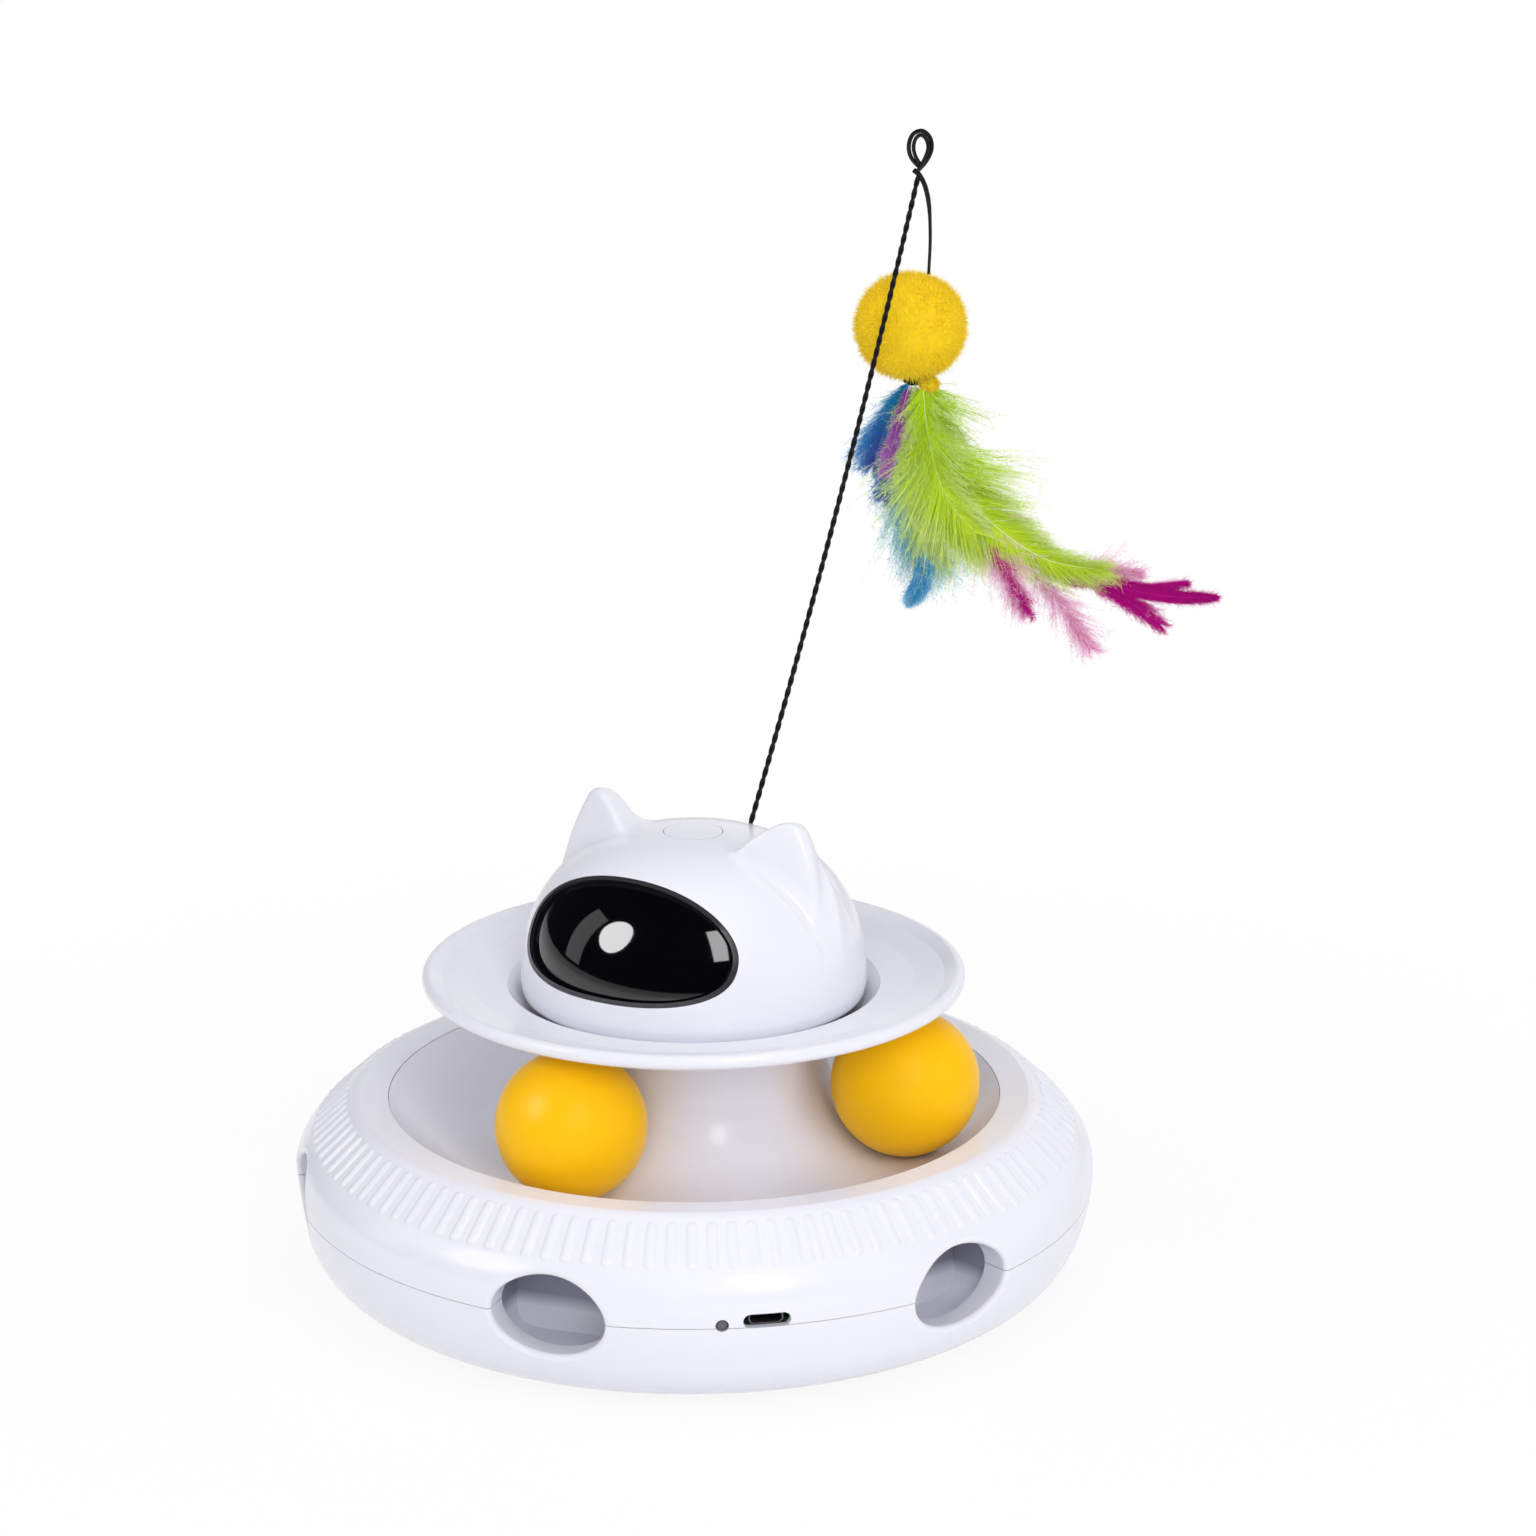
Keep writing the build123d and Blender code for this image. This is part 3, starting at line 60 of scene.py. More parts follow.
# %% Camera
CAMERA_PLACE = Vector((0.6117, -0.9242, 0.4651))
CAMERA_FORWARD = Vector((-0.5153, 0.8100, -0.2800)).normalized()
CAMERA_RIGHT = Vector((0.8438, 0.5367, 0.0)).normalized()
LENS_MM, SENSOR_MM = 101.23, 36.0
camera = bpy.data.objects.new("camera", bpy.data.cameras.new("camera"))
bpy.context.scene.collection.objects.link(camera)
camera.data.lens, camera.data.sensor_width = LENS_MM, SENSOR_MM
camera_up = CAMERA_RIGHT.cross(CAMERA_FORWARD)
axes = Matrix((CAMERA_RIGHT, camera_up, -CAMERA_FORWARD)).transposed()
camera.matrix_world = Matrix.Translation(CAMERA_PLACE) @ axes.to_4x4()
bpy.context.scene.camera = camera
print("camera stands", round(CAMERA_PLACE.length, 3), "m from the origin")

# %% [markdown]
# ## Node helpers
# A finish is a small graph of nodes. These helpers place a node, set its values and join its sockets in one
# line each, so that a cell shows the idea of the finish and not the wiring.


# %% Node helpers
def node(tree, kind, links=None, **values):
    """A new node in the tree; links joins its inputs, and values sets its properties."""
    made = tree.nodes.new(kind)
    for key, value in values.items():
        setattr(made, key, value)
    for key, value in (links or {}).items():
        if isinstance(value, bpy.types.NodeSocket):
            tree.links.new(value, made.inputs[key])
        else:
            made.inputs[key].default_value = value
    return made


def new_group(name, inputs, outputs):
    """An effect that several finishes share: returns the group, its inputs node and its outputs node."""
    group = bpy.data.node_groups.new(name, "ShaderNodeTree")
    for label, kind, value in inputs:
        socket = group.interface.new_socket(label, in_out="INPUT", socket_type=kind)
        socket.default_value = value
    for label, kind in outputs:
        group.interface.new_socket(label, in_out="OUTPUT", socket_type=kind)
    return group, group.nodes.new("NodeGroupInput"), group.nodes.new("NodeGroupOutput")


def maths(tree, operation, first, second=0.0, third=0.0):
    """The output of a Math node."""
    return node(tree, "ShaderNodeMath", {0: first, 1: second, 2: third}, operation=operation).outputs[0]


def blend_colours(tree, share, first, second, blend_type="MIX"):
    """The output of a Mix node that goes from the first colour to the second."""
    sockets = {0: share, 6: first, 7: second}
    return node(tree, "ShaderNodeMix", sockets, data_type="RGBA", blend_type=blend_type).outputs[2]


def mapped(tree, value, low, high, to_low=0.0, to_high=1.0):
    """The output of a Map Range node: value from low to high becomes to_low to to_high, and stops at both."""
    sockets = {"Value": value, "From Min": low, "From Max": high, "To Min": to_low, "To Max": to_high}
    return node(tree, "ShaderNodeMapRange", sockets).outputs["Result"]


FLOAT, COLOUR = "NodeSocketFloat", "NodeSocketColor"
print("helpers ready")

# %% [markdown]
# ## Shared effects
# Moulded plastic is never one flat tone. The mould's spark-eroded skin gives it a fine grain, cooling gives it
# slow clouds of shade, and handling polishes it in patches. Metal shows fine drawn lines, and edges wear
# brighter. Each of these is a node group, built once and given its own values in each finish.

# %% Moulded skin
skin, skin_in, skin_out = new_group(
    "moulded skin",
    [("Colour", COLOUR, (0.8, 0.8, 0.8, 1)), ("Shade", COLOUR, (0.7, 0.7, 0.75, 1)), ("Clouds", FLOAT, 0.3),
     ("Roughness", FLOAT, 0.3), ("Polish", FLOAT, 0.1), ("Grain per metre", FLOAT, 3000.0)],
    [("Colour", COLOUR), ("Roughness", FLOAT), ("Height", FLOAT)],
)
place = node(skin, "ShaderNodeTexCoord").outputs["Object"]
clouds = node(skin, "ShaderNodeTexNoise", {"Vector": place, "Scale": 22.0, "Detail": 3.0}).outputs["Fac"]
patches = node(skin, "ShaderNodeTexNoise", {"Vector": place, "Scale": 95.0, "Detail": 4.0}).outputs["Fac"]
grain = node(skin, "ShaderNodeTexNoise", {
    "Vector": place, "Scale": skin_in.outputs["Grain per metre"], "Detail": 2.0}).outputs["Fac"]
cloud_share = maths(skin, "MULTIPLY", clouds, skin_in.outputs["Clouds"])
clouded = blend_colours(skin, cloud_share, skin_in.outputs["Colour"], skin_in.outputs["Shade"])
skin.links.new(clouded, skin_out.inputs["Colour"])
swing = maths(skin, "MULTIPLY_ADD", patches, 2.0, -1.0)
polished = maths(skin, "MULTIPLY_ADD", swing, skin_in.outputs["Polish"], skin_in.outputs["Roughness"])
skin.links.new(polished, skin_out.inputs["Roughness"])
skin.links.new(grain, skin_out.inputs["Height"])

# %% Drawn metal
drawn, drawn_in, drawn_out = new_group(
    "drawn metal",
    [("Colour", COLOUR, (0.7, 0.7, 0.72, 1)), ("Worn colour", COLOUR, (0.9, 0.9, 0.92, 1)),
     ("Roughness", FLOAT, 0.3), ("Lines per metre", FLOAT, 900.0)],
    [("Colour", COLOUR), ("Roughness", FLOAT), ("Height", FLOAT)],
)
place = node(drawn, "ShaderNodeTexCoord").outputs["Object"]
stretched = node(drawn, "ShaderNodeMapping", {"Vector": place, "Scale": (1.0, 1.0, 0.06)}).outputs["Vector"]
lines = node(drawn, "ShaderNodeTexNoise", {
    "Vector": stretched, "Scale": drawn_in.outputs["Lines per metre"], "Detail": 4.0}).outputs["Fac"]
edges = node(drawn, "ShaderNodeNewGeometry").outputs["Pointiness"]
worn = mapped(drawn, edges, 0.52, 0.6)
worn_colour = blend_colours(drawn, worn, drawn_in.outputs["Colour"], drawn_in.outputs["Worn colour"])
drawn.links.new(worn_colour, drawn_out.inputs["Colour"])
lined = maths(drawn, "MULTIPLY_ADD", lines, 0.16, drawn_in.outputs["Roughness"])
drawn.links.new(lined, drawn_out.inputs["Roughness"])
drawn.links.new(lines, drawn_out.inputs["Height"])

# %% [markdown]
# A dyed fibre takes the dye unevenly: it is deep at the root, pale at the tip where the barb thins out, and no
# two barbs have quite the same tone. The feather meshes carry three numbers at each point, place along the
# quill, place along the barb and a tone of its own, and this group turns them into colour.

# %% Dyed fibre
fibre, fibre_in, fibre_out = new_group(
    "dyed fibre",
    [("Near colour", COLOUR, (0.5, 0.8, 0.1, 1)), ("Far colour", COLOUR, (0.5, 0.8, 0.1, 1)),
     ("Tip colour", COLOUR, (0.9, 0.95, 0.7, 1)), ("Tip from", FLOAT, 0.55), ("Unevenness", FLOAT, 0.35)],
    [("Colour", COLOUR), ("Roughness", FLOAT)],
)
along_quill, along_barb, tone = (
    node(fibre, "ShaderNodeAttribute", attribute_name=name).outputs["Fac"]
    for name in ("along_quill", "along_barb", "tone"))
dye = blend_colours(fibre, along_quill, fibre_in.outputs["Near colour"], fibre_in.outputs["Far colour"])
tip_share = mapped(fibre, along_barb, fibre_in.outputs["Tip from"], 1.0)
dye = blend_colours(fibre, tip_share, dye, fibre_in.outputs["Tip colour"])
depth = maths(fibre, "MULTIPLY", maths(fibre, "SUBTRACT", 1.0, tone), fibre_in.outputs["Unevenness"])
deep = blend_colours(fibre, 1.0, dye, (0.45, 0.5, 0.42, 1), "MULTIPLY")
fibre.links.new(blend_colours(fibre, depth, dye, deep), fibre_out.inputs["Colour"])
fibre.links.new(maths(fibre, "MULTIPLY_ADD", tone, 0.2, 0.5), fibre_out.inputs["Roughness"])
print("groups", [group.name for group in bpy.data.node_groups])

# %% [markdown]
# ## Finishes
# Each material slot of the part gets one finish. The values that are the same all over a surface, such as the
# coat or the refractive index, are set on the shader itself. What changes over the surface comes from a group.


# %% Finish builders
finishes = {}


def new_finish(slot, **sockets):
    """An empty Principled material for a slot: returns its tree and its shader."""
    material = bpy.data.materials.new(slot)
    material.use_nodes = True
    shader = material.node_tree.nodes["Principled BSDF"]
    for key, value in sockets.items():
        shader.inputs[key.replace("_", " ")].default_value = value
    finishes[slot] = material
    return material.node_tree, shader


def add_effect(tree, shader, group, **values):
    """Gives a shader the colour and roughness of a shared effect with these values; returns its outputs."""
    effect = node(tree, "ShaderNodeGroup", None, node_tree=group)
    for key, value in values.items():
        effect.inputs[key.replace("_", " ")].default_value = (*value, 1) if isinstance(value, tuple) else value
    tree.links.new(effect.outputs["Colour"], shader.inputs["Base Color"])
    tree.links.new(effect.outputs["Roughness"], shader.inputs["Roughness"])
    return effect.outputs


def add_bump(tree, shader, height, strength, distance):
    """Joins a height to the shader's normal."""
    bump = node(tree, "ShaderNodeBump", {"Height": height, "Strength": strength, "Distance": distance})
    tree.links.new(bump.outputs["Normal"], shader.inputs["Normal"])


def plastic(slot, colour, shade, clouds=0.3, rough=0.3, polish=0.06, grain=2600.0, depth=0.05, **sockets):
    """A moulded plastic or rubber finish."""
    tree, shader = new_finish(slot, **sockets)
    effect = add_effect(tree, shader, skin, Colour=colour, Shade=shade, Clouds=clouds, Roughness=rough,
                        Polish=polish, Grain_per_metre=grain)
    add_bump(tree, shader, effect["Height"], depth, 0.0002)


def metal(slot, colour, worn, rough, lines=900.0):
    """A drawn or turned metal finish."""
    tree, shader = new_finish(slot, Metallic=1.0)
    effect = add_effect(tree, shader, drawn, Colour=colour, Worn_colour=worn, Roughness=rough,
                        Lines_per_metre=lines)
    add_bump(tree, shader, effect["Height"], 0.15, 0.0001)


def dyed(slot, near, far, tip, tip_from=0.55, uneven=0.35):
    """A feather or yarn finish, with a faint bloom."""
    tree, shader = new_finish(slot, Sheen_Weight=0.1, Sheen_Roughness=0.4, Specular_IOR_Level=0.08)
    add_effect(tree, shader, fibre, Near_colour=near, Far_colour=far, Tip_colour=tip, Tip_from=tip_from,
               Unevenness=uneven)


# %% Plastics and rubber
plastic("shell_white", (0.845, 0.845, 0.925), (0.80, 0.80, 0.89), rough=0.25, polish=0.04, depth=0.02,
        Coat_Weight=0.3, Coat_Roughness=0.08)
plastic("inner_white", (0.80, 0.80, 0.84), (0.72, 0.72, 0.77), rough=0.45, depth=0.1)
plastic("visor_black", (0.0005, 0.0006, 0.0015), (0.001, 0.0012, 0.002), rough=0.05, polish=0.01, depth=0.0,
        Specular_IOR_Level=0.9)
plastic("bezel_grey", (0.035, 0.035, 0.04), (0.02, 0.02, 0.025), rough=0.2, depth=0.02, Specular_IOR_Level=0.8)
plastic("ball_yellow", (1.0, 0.56, 0.002), (0.98, 0.50, 0.001), clouds=0.5, rough=0.34, polish=0.05,
        grain=1800.0, depth=0.06, Specular_IOR_Level=0.15)
plastic("rubber_grey", (0.10, 0.10, 0.11), (0.07, 0.07, 0.08), rough=0.75, grain=4000.0, depth=0.3)
plastic("board_green", (0.012, 0.07, 0.035), (0.016, 0.10, 0.045), clouds=0.8, rough=0.35, depth=0.15)
plastic("chip_black", (0.03, 0.03, 0.033), (0.05, 0.05, 0.055), rough=0.5, depth=0.2)
plastic("cell_blue", (0.04, 0.16, 0.42), (0.03, 0.12, 0.34), rough=0.3, depth=0.02, Coat_Weight=0.3)
plastic("gear_white", (0.80, 0.79, 0.74), (0.74, 0.72, 0.66), rough=0.4, depth=0.08)
plastic("lead_red", (0.42, 0.02, 0.015), (0.33, 0.015, 0.012), rough=0.45, depth=0.05)
plastic("wire_black", (0.004, 0.004, 0.005), (0.012, 0.012, 0.013), clouds=0.6, rough=0.28, polish=0.1,
        grain=5000.0, depth=0.15, Specular_IOR_Level=0.3)
plastic("lens_clear", (0.16, 0.15, 0.19), (0.12, 0.11, 0.15), rough=0.15, depth=0.0, IOR=1.49,
        Transmission_Weight=0.3)

# %% Metals
metal("steel", (0.56, 0.56, 0.58), (0.78, 0.78, 0.80), 0.28)
metal("brass", (0.72, 0.52, 0.22), (0.88, 0.70, 0.38), 0.32, lines=600.0)

# %% Dyes
dyed("pompom_yellow", (0.99, 0.72, 0.012), (1.0, 0.78, 0.025), (1.0, 0.84, 0.10), uneven=0.15)
dyed("feather_green", (0.60, 0.88, 0.025), (0.66, 0.84, 0.05), (0.84, 0.94, 0.45), tip_from=0.5, uneven=0.5)
dyed("feather_magenta", (0.72, 0.01, 0.36), (0.56, 0.001, 0.28), (0.68, 0.02, 0.40), tip_from=0.8, uneven=0.25)
dyed("feather_pink", (0.95, 0.55, 0.75), (0.85, 0.22, 0.52), (1.0, 0.76, 0.92), tip_from=0.35, uneven=0.15)
dyed("feather_blue", (0.003, 0.36, 0.74), (0.10, 0.08, 0.55), (0.08, 0.48, 0.82), uneven=0.25)
dyed("feather_purple", (0.30, 0.04, 0.36), (0.52, 0.16, 0.62), (0.70, 0.42, 0.80), uneven=0.3)
dyed("feather_teal", (0.48, 0.84, 0.74), (0.003, 0.34, 0.72), (0.62, 0.88, 0.92), tip_from=0.6, uneven=0.2)

# %% [markdown]
# Painted shade: a treat pocket's walls above its floor are a darkened grey, and its floor keeps the shell's
# white.
# The port is nickel, darkened and tinted lavender as painted shade for its slot.

# %% Special finishes
POCKET_FLOOR, POCKET_RISE = 0.0200, 0.004
POCKET_FLOOR_WHITE, POCKET_PAINTED_SHADE = (0.84, 0.84, 0.93, 1), (0.62, 0.62, 0.66, 1)
# The pocket's grey, darkened above the floor, is painted shade for the inside of the pocket.
plastic("pocket_painted_shade", (0.52, 0.52, 0.62), (0.45, 0.45, 0.55), rough=0.5, depth=0.1)
pocket = finishes["pocket_painted_shade"].node_tree
place = node(pocket, "ShaderNodeTexCoord").outputs["Object"]
height = node(pocket, "ShaderNodeSeparateXYZ", {0: place}).outputs["Z"]
shade_share_above_floor = mapped(pocket, height, POCKET_FLOOR, POCKET_FLOOR + POCKET_RISE)
pocket_colour = pocket.nodes["Principled BSDF"].inputs["Base Color"]
# Painted shade: the walls' colour is multiplied darker above the floor.
wall_painted_shade = blend_colours(pocket, 1.0, pocket_colour.links[0].from_socket, POCKET_PAINTED_SHADE, "MULTIPLY")
pocket.links.new(blend_colours(pocket, shade_share_above_floor, POCKET_FLOOR_WHITE, wall_painted_shade), pocket_colour)
# Painted shade: the port's dark lavender colour stands in for the shade in its slot.
metal("port_nickel_painted_shade", (0.20, 0.17, 0.20), (0.28, 0.25, 0.28), 0.5)
print("finishes", len(finishes))

# %% Finishes on the solids
slot_of = {row["node"]: row["material_slot"] for row in frame["record"]["subparts"]}
special = {"treat_pockets": "pocket_painted_shade", "usb_port": "port_nickel_painted_shade"}
for name, solid in nodes.items():
    if not solid.material_slots:
        solid.data.materials.append(None)
    for material_slot in solid.material_slots:
        material_slot.material = finishes[special.get(name, slot_of[name])]
print("dressed", len(slot_of), "solids")

# %% [markdown]
# ## Mesh helpers
# Blender takes a mesh as a list of points and a list of faces. Numpy makes both for thousands of fibres at
# once. A tube is a ring of points carried along a line without twisting, which is how wire and quills are made.


# %% Mesh helpers
def add_piece(name, points, faces, body, slot, replaced=(), **attributes):
    """A mesh object from points in millimetres, riding on a body, with optional numbers at each point."""
    mesh = bpy.data.meshes.new(name)
    faces = faces if isinstance(faces, list) else faces.tolist()
    mesh.from_pydata((np.asarray(points) * MM).tolist(), [], faces)
    mesh.validate()
    for key, values in attributes.items():
        mesh.attributes.new(key, "FLOAT", "POINT").data.foreach_set("value", np.asarray(values, np.float32))
    mesh.polygons.foreach_set("use_smooth", [True] * len(mesh.polygons))
    piece = bpy.data.objects.new(name, mesh)
    bpy.context.scene.collection.objects.link(piece)
    mesh.materials.append(finishes[slot])
    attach(piece, body)
    if replaced:
        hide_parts(*replaced)
    print(name, len(mesh.vertices), "points,", len(mesh.polygons), "faces")
    return piece


def distances(line):
    """How far along a line each of its points is."""
    return np.concatenate([[0], np.cumsum(np.linalg.norm(np.diff(line, axis=0), axis=1))])


def rows_at(places, known, rows):
    """Rows of three numbers at these places, between the rows at the known ones."""
    return np.stack([np.interp(places, known, rows[:, axis]) for axis in range(3)], axis=1)


def smooth_line(points, count):
    """Points spaced evenly along a Catmull-Rom curve through the given ones."""
    points = np.asarray(points, float)
    ends = np.vstack([2 * points[0] - points[1], points, 2 * points[-1] - points[-2]])
    share = np.linspace(0, 1, 24, endpoint=False)[:, None]
    runs = []
    for a, b, c, d in zip(ends, ends[1:], ends[2:], ends[3:]):
        runs.append(0.5 * (2 * b + (c - a) * share + (2 * a - 5 * b + 4 * c - d) * share**2
                           + (3 * b - a - 3 * c + d) * share**3))
    line = np.vstack(runs + [points[-1:]])
    far = distances(line)
    return rows_at(np.linspace(0, far[-1], count), far, line)


def tangents(line):
    """Unit directions along a line."""
    steps = np.gradient(line, axis=0)
    return steps / np.linalg.norm(steps, axis=1, keepdims=True)


def carried_frame(line):
    """Two unit sideways directions at each point of a line, carried along it without twist."""
    ahead = tangents(line)
    side = np.cross(ahead[0], (0.31, 0.94, 0.13))
    sides = []
    for direction in ahead:
        side = side - direction * np.dot(side, direction)
        side = side / np.linalg.norm(side)
        sides.append(side)
    sides = np.array(sides)
    return sides, np.cross(ahead, sides)


def tube(line, radii, around=10):
    """Points and faces of a closed tube along a line."""
    line = np.asarray(line, float)
    radii = np.broadcast_to(np.asarray(radii, float), len(line))
    first, second = carried_frame(line)
    turn = np.linspace(0, 2 * np.pi, around, endpoint=False)
    rings = (line[:, None] + radii[:, None, None]
             * (np.cos(turn)[None, :, None] * first[:, None] + np.sin(turn)[None, :, None] * second[:, None]))
    points = rings.reshape(-1, 3)
    faces = []
    for ring in range(len(line) - 1):
        here, there = ring * around, (ring + 1) * around
        for step in range(around):
            after = (step + 1) % around
            faces.append((here + step, here + after, there + after, there + step))
    faces.append(tuple(range(around))[::-1])
    faces.append(tuple((len(line) - 1) * around + step for step in range(around)))
    return points, faces


def joined(*meshes):
    """Several (points, faces) as one."""
    points, faces, start = [], [], 0
    for some_points, some_faces in meshes:
        points.append(np.asarray(some_points))
        faces += [tuple(int(index) + start for index in face) for face in some_faces]
        start += len(some_points)
    return np.vstack(points), faces


print("mesh helpers ready")

# %% [markdown]
# ## The head shell
# The cat head is one injection moulding: a dome whose ears grow out of it in a soft hollow. Joining solids
# gives a hard line there. A distance field doesn't: each form is a function that says how far a point is from
# its skin, and two such functions can be blended over a few millimetres. The skin is then where the blend is
# zero. A grid finds it roughly, and a few Newton steps set every point exactly on it.

# %% The forms of the head
HEAD_WALL, WALL_ROUNDING = 2.2, 0.2
RIM_Z, RIM_ROUNDING = 79.6, 0.45
CROWN_Z = 124.6
share = np.linspace(0, 1, 260)[:, None]
handles = np.array([(46.8, 83.0), (46.8, 110.5), (30.9, CROWN_Z), (0.0, CROWN_Z)])
dome_line = ((1 - share) ** 3 * handles[0] + 3 * (1 - share) ** 2 * share * handles[1]
             + 3 * (1 - share) * share**2 * handles[2] + share**3 * handles[3])
dome_line = np.vstack([[(45.6, 71.5), (46.3, RIM_Z)], dome_line, [(-8.0, CROWN_Z)]])
TABLE_STEP, TABLE_LOW, TABLE_TOP, TABLE_RADIUS = 0.5, 70, 142, 62


def dome_table():
    """Signed distances to the dome on a grid of radius and height."""
    radii = np.arange(0, TABLE_RADIUS, TABLE_STEP)
    heights = np.arange(TABLE_LOW, TABLE_TOP, TABLE_STEP)
    grid = np.stack(np.meshgrid(radii, heights, indexing="ij"), axis=-1).reshape(-1, 1, 2)
    start, run = dome_line[None, :-1], np.diff(dome_line, axis=0)[None]
    share = np.clip(((grid - start) * run).sum(-1) / (run**2).sum(-1), 0, 1)
    offset = grid - (start + share[..., None] * run)
    far = np.hypot(offset[..., 0], offset[..., 1])
    nearest = far.argmin(1)
    rows = np.arange(len(grid))
    run, offset = run[0, nearest], offset[rows, nearest]
    sign = np.sign(run[:, 1] * offset[:, 0] - run[:, 0] * offset[:, 1])
    return (far[rows, nearest] * sign).reshape(len(radii), len(heights))


dome_far = dome_table()


def dome_field(points):
    """Distance from the dome, below zero inside."""
    radius = np.clip(np.hypot(points[:, 0], points[:, 1]) / TABLE_STEP, 0, dome_far.shape[0] - 1.001)
    height = np.clip((points[:, 2] - TABLE_LOW) / TABLE_STEP, 0, dome_far.shape[1] - 1.001)
    i, j = radius.astype(int), height.astype(int)
    u, v = radius - i, height - j
    return ((1 - u) * (1 - v) * dome_far[i, j] + u * (1 - v) * dome_far[i + 1, j]
            + (1 - u) * v * dome_far[i, j + 1] + u * v * dome_far[i + 1, j + 1])


def rounded_or(first, second, edge):
    """Smooth maximum of two fields: the inside of both, with the shared edge rounded."""
    top = np.maximum(first, second)
    return top + edge * np.log(np.exp((first - top) / edge) + np.exp((second - top) / edge))


def to_right(points):
    """The points with the left half of the head folded onto the right one."""
    return np.column_stack([np.abs(points[:, 0]), points[:, 1], points[:, 2]])


EAR_OUTLINE = ((13.0, 112.0), (16.0, 122.0), (25.0, 131.9), (30.0, 134.3), (35.0, 132.7), (40.6, 121.6),
               (43.4, 108.0), (42.0, 98.0), (20.0, 98.0))
EAR_OUTLINE_Y = -7.0
EAR_TAPER = np.radians(14.0)
EAR_FRONT = (np.array((0.334, -0.913, 0.2335)), 42.3)
EAR_BACK_Y, EAR_FRONT_Y = 6.0, -7.6
EAR_EDGE = 0.85


def ear_planes():
    """The flat sides of the right ear, as outward normals and distances from the origin."""
    back, ahead = np.array((0.0, 1.0, 0.0)), np.array((0.0, -1.0, 0.0))
    planes = [EAR_FRONT, (back, EAR_BACK_Y), (ahead, -EAR_FRONT_Y)]
    corners = np.array(EAR_OUTLINE)
    for a, b in zip(corners, np.roll(corners, -1, axis=0)):
        out = np.array((-(b[1] - a[1]), b[0] - a[0]))
        out = out / np.hypot(*out)
        normal = np.array((out[0] * np.cos(EAR_TAPER), np.sin(EAR_TAPER), out[1] * np.cos(EAR_TAPER)))
        planes.append((normal, normal @ (a[0], EAR_OUTLINE_Y, a[1])))
    return planes


def ear_field(points):
    """Distance from the pair of ears: a smooth maximum rounds every edge by the same amount."""
    right = to_right(points)
    far = np.stack([right @ normal - distance for normal, distance in ear_planes()])
    top = far.max(0)
    return top + EAR_EDGE * np.log(np.exp((far - top) / EAR_EDGE).sum(0))


FOLD_TOP, FOLD_END = np.array((21.4, -7.5, 121.2)), np.array((43.6, -4.5, 101.2))
FOLD_SLOPE, FOLD_SCALE = 0.8, 1.28
FOLD_PAST_END = 2.0
FOLD_DEPTH, FOLD_FLOOR_ROUNDING, FOLD_EDGE = 1.2, 0.3, 1.1


def fold_field(points):
    """The fold at the foot of each ear's flat front: a wedge between that front and a sloping wall."""
    right = to_right(points)
    down = (FOLD_END - FOLD_TOP) / np.linalg.norm(FOLD_END - FOLD_TOP)
    front = EAR_FRONT[0]
    across = np.cross(front, down)
    ahead = (right - FOLD_TOP) @ front
    wall = ((right - FOLD_TOP) @ across - FOLD_SLOPE * ahead) / FOLD_SCALE
    return np.maximum.reduce([-ahead, -wall, (right - FOLD_END) @ down - FOLD_PAST_END])


def pressed_dome(points):
    """The dome with the folds pressed in, never deeper than the moulding's wall allows."""
    dome = dome_field(points)
    pressed = rounded_or(dome, -fold_field(points), FOLD_EDGE)
    return -rounded_or(-pressed, -(dome + FOLD_DEPTH), FOLD_FLOOR_ROUNDING)


EAR_BLEND_FRONT, EAR_BLEND_BACK = 2.6, 10.0
BLEND_CHANGE = 7.0
INNER_BLEND_X, OUTER_BLEND_CHANGE, INNER_BLEND_SHARE = 24, 10, 0.25


def head_field(points):
    """Distance from the dome and ears together, blended where they meet, most of all behind and outside."""
    dome, ears, right = pressed_dome(points), ear_field(points), to_right(points)
    behind = np.clip((EAR_FRONT[1] - right @ EAR_FRONT[0]) / BLEND_CHANGE, 0, 1)
    outer = np.clip((right[:, 0] - INNER_BLEND_X) / OUTER_BLEND_CHANGE, INNER_BLEND_SHARE, 1)
    blend = EAR_BLEND_FRONT + (EAR_BLEND_BACK - EAR_BLEND_FRONT) * behind**2 * outer
    near = np.maximum(blend - np.abs(dome - ears), 0) / blend
    return np.minimum(dome, ears) - near**2 * blend / 4


def shell_field(points):
    """The head as a hollow moulding, open below, with a rounded rim."""
    outside = rounded_or(head_field(points), RIM_Z - points[:, 2], RIM_ROUNDING)
    return rounded_or(outside, -(pressed_dome(points) + HEAD_WALL), WALL_ROUNDING)


print("dome at the crown", round(float(dome_field(np.array([(0, 0, CROWN_Z)]))[0]), 3), "mm from zero")

# %% [markdown]
# Surface nets turn a field into a mesh. Each cell of a grid that the skin passes through gets one point, and
# each grid edge that crosses the skin gets one face between its four cells. The faces are even squares, which
# shade well, and the points can then slide onto the skin.


